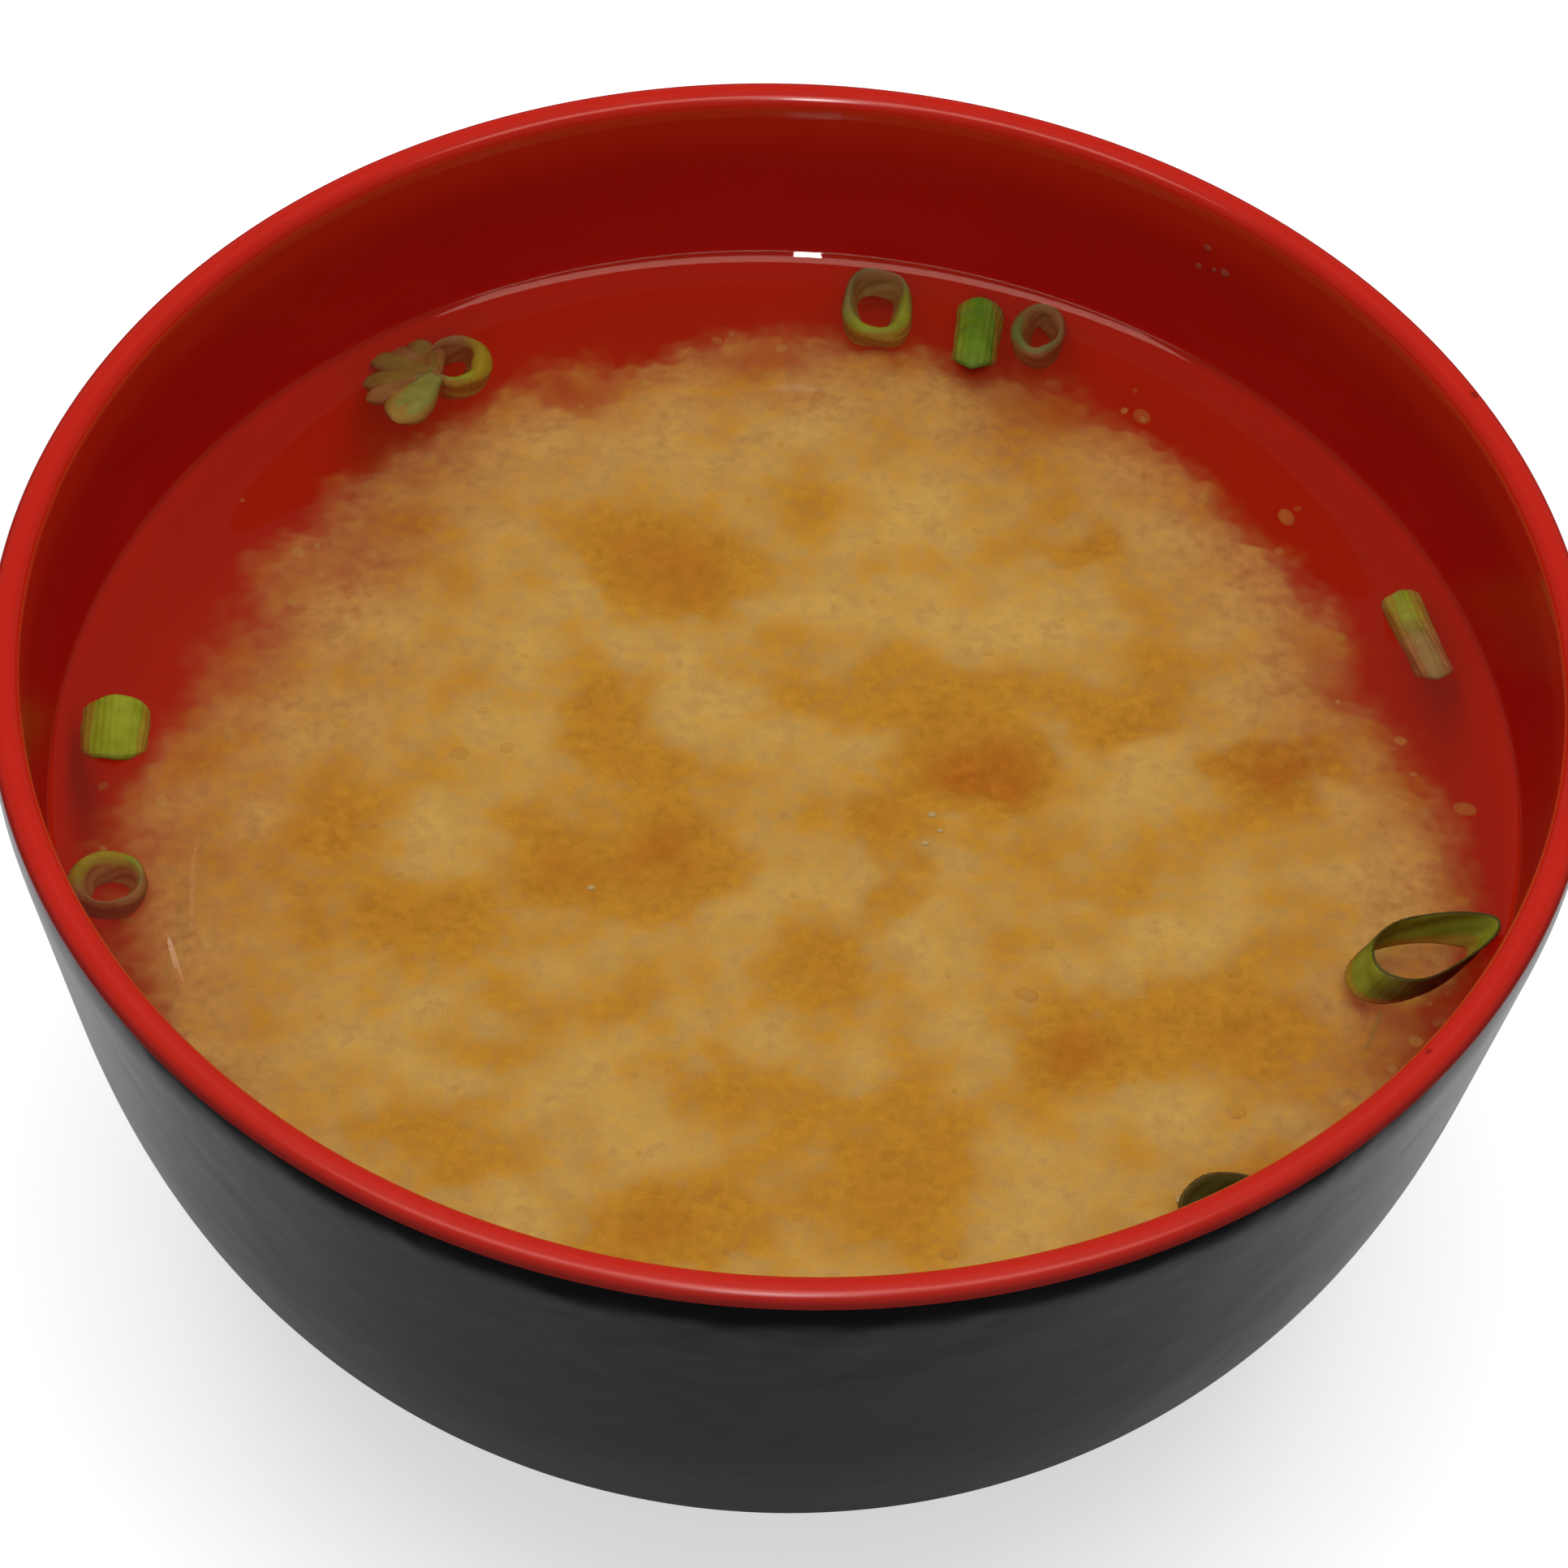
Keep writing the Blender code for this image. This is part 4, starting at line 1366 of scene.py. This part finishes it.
# Materials of the small marks: name, colour and roughness
FOAM_LOOK = ("pale_foam", (0.46, 0.30, 0.11), 0.4)
# The drops' pale colour is a painted highlight, and the dimples' dark red is painted shade.
MARK_LOOKS = (("drop_highlights", (0.31, 0.050, 0.030), 0.5), ("lip_dimple_shade", (0.30, 0.0060, 0.0015), 0.4))
MARK_GRAIN = (0.5, 0.15)
MARK_SHADE = 0.25
MARK_BUMP = 0.00003
DIMPLE_THICKNESS = 0.05


def join_balls(places, subdivisions=2):
    """Joins stretched balls, each given as its middle and its three half axes in millimetres; metres out."""
    ball = bmesh.new()
    bmesh.ops.create_icosphere(ball, subdivisions=subdivisions, radius=1.0)
    ball.verts.index_update()
    corners = np.array([tuple(vertex.co) for vertex in ball.verts])
    triangles = [tuple(vertex.index for vertex in face.verts) for face in ball.faces]
    ball.free()
    points = np.concatenate([corners @ np.array(axes) + np.array(middle) for middle, axes in places])
    faces = [tuple(len(corners) * index + v for v in face) for index in range(len(places)) for face in triangles]
    return points * MM, faces, len(corners)


def outward_at(bearing):
    """The level direction at a bearing in degrees."""
    return Matrix.Rotation(math.radians(bearing), 3, "Z") @ Vector((1.0, 0.0, 0.0))


def patch_axes(normal, width, height, thickness):
    """Half axes of a flat patch that faces along a normal."""
    normal = Vector(normal).normalized()
    across = normal.cross(UP).normalized()
    return [list(across * width), list(across.cross(normal) * height), list(normal * thickness)]


class MISO_OT_grains(bpy.types.Operator):
    """Scatters loose grains of miso over the cloud and thickly along its thinning edge"""

    bl_idname = "miso.grains"
    bl_label = "Scatter Miso Grains"

    def execute(self, context):
        random = np.random.default_rng(71)
        level = broth_level()
        rim_radius = radius_at(inner_curve(), level - MISO_RIM_DEPTH) + SKIN_DEPTH
        bearing = random.uniform(0.0, 2 * math.pi, GRAIN_TRIES)
        radius = rim_radius * np.sqrt(random.uniform(0.0, GRAIN_SPREAD, GRAIN_TRIES))
        x, y = radius * np.cos(bearing), radius * np.sin(bearing)
        depth, cover, hollow = miso_fields(x, y, rim_radius)
        outward = radius + clear_width(x, y) - rim_radius
        edge = 4 * cover * (1 - cover)
        crumbs = CRUMB_CHANCE * (outward < CRUMB_REACH)
        chance = np.where(cover > CRUMB_COVER, CLOUD_CHANCE + EDGE_CHANCE * edge, crumbs)
        kept = np.flatnonzero(random.uniform(0.0, 1.0, GRAIN_TRIES) < chance)
        places, covers, hollows = [], [], []
        for index in kept:
            size = GRAIN_SMALL + GRAIN_GROWTH * random.uniform() ** 2
            turn = random.uniform(0.0, math.pi)
            long = size * random.uniform(1.0, GRAIN_STRETCH)
            axes = (
                (long * math.cos(turn), long * math.sin(turn), 0.0),
                (-size * math.sin(turn), size * math.cos(turn), 0.0),
                (0.0, 0.0, GRAIN_SQUASH * size),
            )
            top = level - max(min(depth[index], MISO_DEPTH + GRAIN_LOWEST) - 0.3 * size, GRAIN_HIGHEST)
            places.append(((x[index], y[index], top - GRAIN_SQUASH * size), axes))
            least, span = THIN_GRAIN if cover[index] < THICK_COVER else THICK_GRAIN
            covers.append(least + span * random.uniform())
            hollows.append(GRAIN_TONE[0] * random.uniform() + GRAIN_TONE[1] * hollow[index])
        points, faces, corners = join_balls(places)
        fields = {"cover": np.repeat(covers, corners), "hollow": np.repeat(hollows, corners)}
        material = bpy.data.materials.get("settled_miso") or miso_material()
        piece = make_piece("miso_grains", points, faces, (material,), fields)
        piece.visible_shadow = False
        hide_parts("broth")
        return {"FINISHED"}


def plain_material(name, colour, roughness):
    """A small piece's own colour, mottled, with a mottled sheen."""
    material, tree, shader = new_material(name, Specular_IOR_Level=0.2)
    coarse, fine = add_grain(tree, *MARK_GRAIN)
    darker = add_mix(tree, MARK_SHADE, colour, BLACK)
    tree.links.new(add_mix(tree, coarse, darker, colour), shader.inputs["Base Color"])
    rough = plus(tree, times(tree, fine, 0.2), roughness)
    tree.links.new(rough, shader.inputs["Roughness"])
    tree.links.new(add_bump(tree, fine, MARK_BUMP, 0.4), shader.inputs["Normal"])
    return material


class MISO_OT_foam(bpy.types.Operator):
    """Leaves the few dots of foam on the broth"""

    bl_idname = "miso.foam"
    bl_label = "Leave Foam"

    def execute(self, context):
        level = broth_level()
        places = [
            ((x, y, level + FOAM_RISE), np.diag((FOAM_STRETCH * size, size, FOAM_SQUASH * size)))
            for x, y, size in FOAM
        ]
        points, faces, _ = join_balls(places, 3)
        piece = make_piece("pale_foam", points, faces, (plain_material(*FOAM_LOOK),))
        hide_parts("broth")
        return {"FINISHED"}


class MISO_OT_marks(bpy.types.Operator):
    """Leaves pale drops on the inside, their paleness a painted highlight, and dark patches in the lip painted as
    the shade of dimples
    """

    bl_idname = "miso.marks"
    bl_label = "Leave Marks"

    def execute(self, context):
        inside = inner_curve()
        draft = context.scene.miso_bowl.wall_draft
        places = []
        for bearing, height, size in DROP_HIGHLIGHTS:
            outward = outward_at(bearing)
            normal = UP * math.sin(draft) - outward * math.cos(draft)
            middle = outward * radius_at(inside, height) + UP * height
            places.append((tuple(middle), patch_axes(normal, size, size, DROP_THICKNESS)))
        axis_radius, axis_height = lip_axis()
        half = context.scene.miso_bowl.lip_thickness / MM / 2
        for bearing, turn, size in DIMPLES:
            outward, lift = outward_at(bearing), math.radians(turn)
            normal = outward * math.cos(lift) + UP * math.sin(lift)
            middle = outward * axis_radius + UP * axis_height + normal * (half - DIMPLE_SINK)
            places.append((tuple(middle), patch_axes(normal, size, size * DIMPLE_SHARE, DIMPLE_THICKNESS)))
        points, faces, _ = join_balls(places, 3)
        materials = [plain_material(*look) for look in MARK_LOOKS]
        each = len(faces) // len(places)
        sides = [int(index >= each * len(DROP_HIGHLIGHTS)) for index in range(len(faces))]
        piece = make_piece("lacquer_marks", points, faces, materials, None, sides)
        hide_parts("bowl")
        return {"FINISHED"}


# Stage

# Lamps: direction from the middle of the lip, then distance, width and height in metres
OVERHEAD = ((0.0, 0.12, 1.0), 1.0, 1.1, 1.1)
KEY = ((0.0, -0.44, 0.90), 0.9, 1.3, 0.26)
SPARK = ((0.02, -0.643, 0.766), 0.9, 0.045, 0.22)
KEY_COLOUR = (1.0, 0.74, 0.62)
SPARK_RADIANCE = 60.0
FLOOR_HALF = 3.0
FLOOR_GLOW = 0.56

# The floor as glossy surfaces see it: (range in metres, brightness) towards the back, and outwards from a point
MIRRORED_BACKWARDS = ((-0.06, 0.02), (0.36, 0.80))
MIRRORED_OUTWARDS = ((0.107, 0.125), (1.0, 0.03))
MIRRORED_MIDDLE = (0.0, 0.04, 0.0)
AIM_SIDEWAYS = -0.00075
AIM_UPWARDS = -0.00939
SENSOR_WIDTH = 36.0
CLIP_RANGE = (0.01, 20.0)


def aim(thing, place, target):
    thing.location = place
    thing.rotation_euler = (Vector(target) - Vector(place)).to_track_quat("-Z", "Y").to_euler()


def add_area(name, direction, distance, width, height, radiance, target):
    """A rectangular lamp seen from the target along a direction, as bright as a radiance."""
    light = bpy.data.lights.new(name, "AREA")
    light.shape = "RECTANGLE"
    light.size = width
    light.size_y = height
    light.energy = radiance * math.pi * width * height
    lamp = bpy.data.objects.new(name, light)
    bpy.context.scene.collection.objects.link(lamp)
    aim(lamp, Vector(target) + Vector(direction).normalized() * distance, target)
    return lamp


def floor_material(colour):
    """Pale floor that glossy surfaces see dimmer, and dark further out."""
    material, tree, shader = new_material(
        "pale_floor",
        Base_Color=(*colour, 1.0),
        Roughness=0.9,
        Specular_IOR_Level=0.0,
        Emission_Color=(*WHITE, 1.0),
        Emission_Strength=FLOOR_GLOW,
    )
    material.cycles.emission_sampling = "NONE"
    place = tree.nodes.new("ShaderNodeNewGeometry").outputs["Position"]
    behind = add_node(tree, "ShaderNodeVectorMath", operation="SUBTRACT")
    behind.inputs[1].default_value = MIRRORED_MIDDLE
    tree.links.new(place, behind.inputs[0])
    length = add_node(tree, "ShaderNodeVectorMath", operation="LENGTH")
    tree.links.new(behind.outputs["Vector"], length.inputs[0])
    depth = tree.nodes.new("ShaderNodeSeparateXYZ")
    tree.links.new(place, depth.inputs[0])
    near = add_range(tree, depth.outputs["Y"], *MIRRORED_BACKWARDS)
    far = add_range(tree, length.outputs["Value"], *MIRRORED_OUTWARDS)
    glow = tree.nodes.new("ShaderNodeBsdfDiffuse")
    tree.links.new(times(tree, near, far), glow.inputs["Color"])
    path = tree.nodes.new("ShaderNodeLightPath")
    mix = mix_shaders(tree, path.outputs["Is Glossy Ray"], shader, glow)
    tree.links.new(mix.outputs[0], tree.nodes["Material Output"].inputs["Surface"])
    return material


def light_world(sky, mirrored):
    """Even white light, dimmer where glossy surfaces would mirror it."""
    world = bpy.data.worlds.new("studio")
    bpy.context.scene.world = world
    world.use_nodes = True
    tree = world.node_tree
    background = tree.nodes["Background"]
    background.inputs["Color"].default_value = (*WHITE, 1.0)
    path = tree.nodes.new("ShaderNodeLightPath")
    glossy = times(tree, path.outputs["Is Glossy Ray"], mirrored - sky)
    seen = times(tree, path.outputs["Is Camera Ray"], 1.0 - sky)
    strength = plus(tree, plus(tree, glossy, seen), sky)
    tree.links.new(strength, background.inputs["Strength"])


def place_camera(stage):
    """Puts the camera on the arc round the lip's centre, with a small offset of its aim."""
    height = lip_axis()[1] * MM
    elevation = stage.elevation
    back = Vector((0.0, -math.cos(elevation), math.sin(elevation)))
    up = Vector((0.0, math.sin(elevation), math.cos(elevation)))
    right = Vector((1.0, 0.0, 0.0))
    side = right * math.cos(stage.roll) + up * math.sin(stage.roll)
    over = up * math.cos(stage.roll) - right * math.sin(stage.roll)
    aim_point = UP * height + side * AIM_SIDEWAYS + over * AIM_UPWARDS
    place = aim_point + back * stage.distance
    data = bpy.data.cameras.new("camera")
    data.sensor_width = SENSOR_WIDTH
    data.lens = stage.lens
    data.clip_start, data.clip_end = CLIP_RANGE
    camera = bpy.data.objects.new("camera", data)
    bpy.context.scene.collection.objects.link(camera)
    camera.matrix_world = Matrix.Translation(place) @ Matrix((side, over, back)).transposed().to_4x4()
    bpy.context.scene.camera = camera


class MISO_OT_stage(bpy.types.Operator):
    """Sets the pale floor, the soft lights and the camera"""

    bl_idname = "miso.stage"
    bl_label = "Set Stage"

    def execute(self, context):
        stage = context.scene.miso_stage
        half = FLOOR_HALF
        mesh = bpy.data.meshes.new("floor")
        corners = [(-half, -half, 0.0), (half, -half, 0.0), (half, half, 0.0), (-half, half, 0.0)]
        mesh.from_pydata(corners, [], [(0, 1, 2, 3)])
        mesh.materials.append(floor_material(tuple(stage.floor)))
        floor = bpy.data.objects.new("floor", mesh)
        context.scene.collection.objects.link(floor)
        target = (0.0, 0.0, lip_axis()[1] * MM)
        overhead = add_area("overhead", *OVERHEAD, stage.overhead, target)
        overhead.visible_glossy = False
        key = add_area("key", *KEY, stage.key, target)
        key.data.color = KEY_COLOUR
        key.visible_diffuse = False
        spark = add_area("spark", *SPARK, SPARK_RADIANCE, target)
        spark.visible_diffuse = False
        light_world(stage.sky, stage.mirrored_sky)
        place_camera(stage)
        context.scene.view_settings.view_transform = "Standard"
        return {"FINISHED"}


# Panel, registration and run


STEPS = (
    MISO_OT_stage,
    MISO_OT_bowl,
    MISO_OT_marks,
    MISO_OT_broth,
    MISO_OT_miso,
    MISO_OT_grains,
    MISO_OT_foam,
    MISO_OT_rings,
    MISO_OT_tubes,
    MISO_OT_fan,
)


class MISO_PT_panel(bpy.types.Panel):
    """Lists the steps that build the bowl of soup"""

    bl_idname = "MISO_PT_panel"
    bl_label = "Miso Soup"
    bl_space_type = "VIEW_3D"
    bl_region_type = "UI"
    bl_category = "Miso Soup"

    def draw(self, context):
        for step in STEPS:
            self.layout.operator(step.bl_idname)
        for name in GROUPS:
            box = self.layout.box()
            group = getattr(context.scene, "miso_" + name)
            for key in group.bl_rna.properties.keys():
                if key not in ("rna_type", "name"):
                    box.prop(group, key)


GROUPS = {"bowl": BowlSettings, "broth": BrothSettings, "onion": OnionSettings, "stage": StageSettings}


def register():
    for group in GROUPS.values():
        bpy.utils.register_class(group)
    for name, group in GROUPS.items():
        setattr(bpy.types.Scene, "miso_" + name, bpy.props.PointerProperty(type=group))
    for step in STEPS:
        bpy.utils.register_class(step)
    bpy.utils.register_class(MISO_PT_panel)


def unregister():
    bpy.utils.unregister_class(MISO_PT_panel)
    for step in reversed(STEPS):
        bpy.utils.unregister_class(step)
    for name in GROUPS:
        delattr(bpy.types.Scene, "miso_" + name)
    for group in reversed(list(GROUPS.values())):
        bpy.utils.unregister_class(group)


def main():
    register()
    bpy.ops.miso.stage()
    bpy.ops.miso.bowl()
    bpy.ops.miso.marks()
    bpy.ops.miso.broth()
    bpy.ops.miso.miso()
    bpy.ops.miso.grains()
    bpy.ops.miso.foam()
    bpy.ops.miso.rings()
    bpy.ops.miso.tubes()
    bpy.ops.miso.fan()


if __name__ == "__main__":
    main()
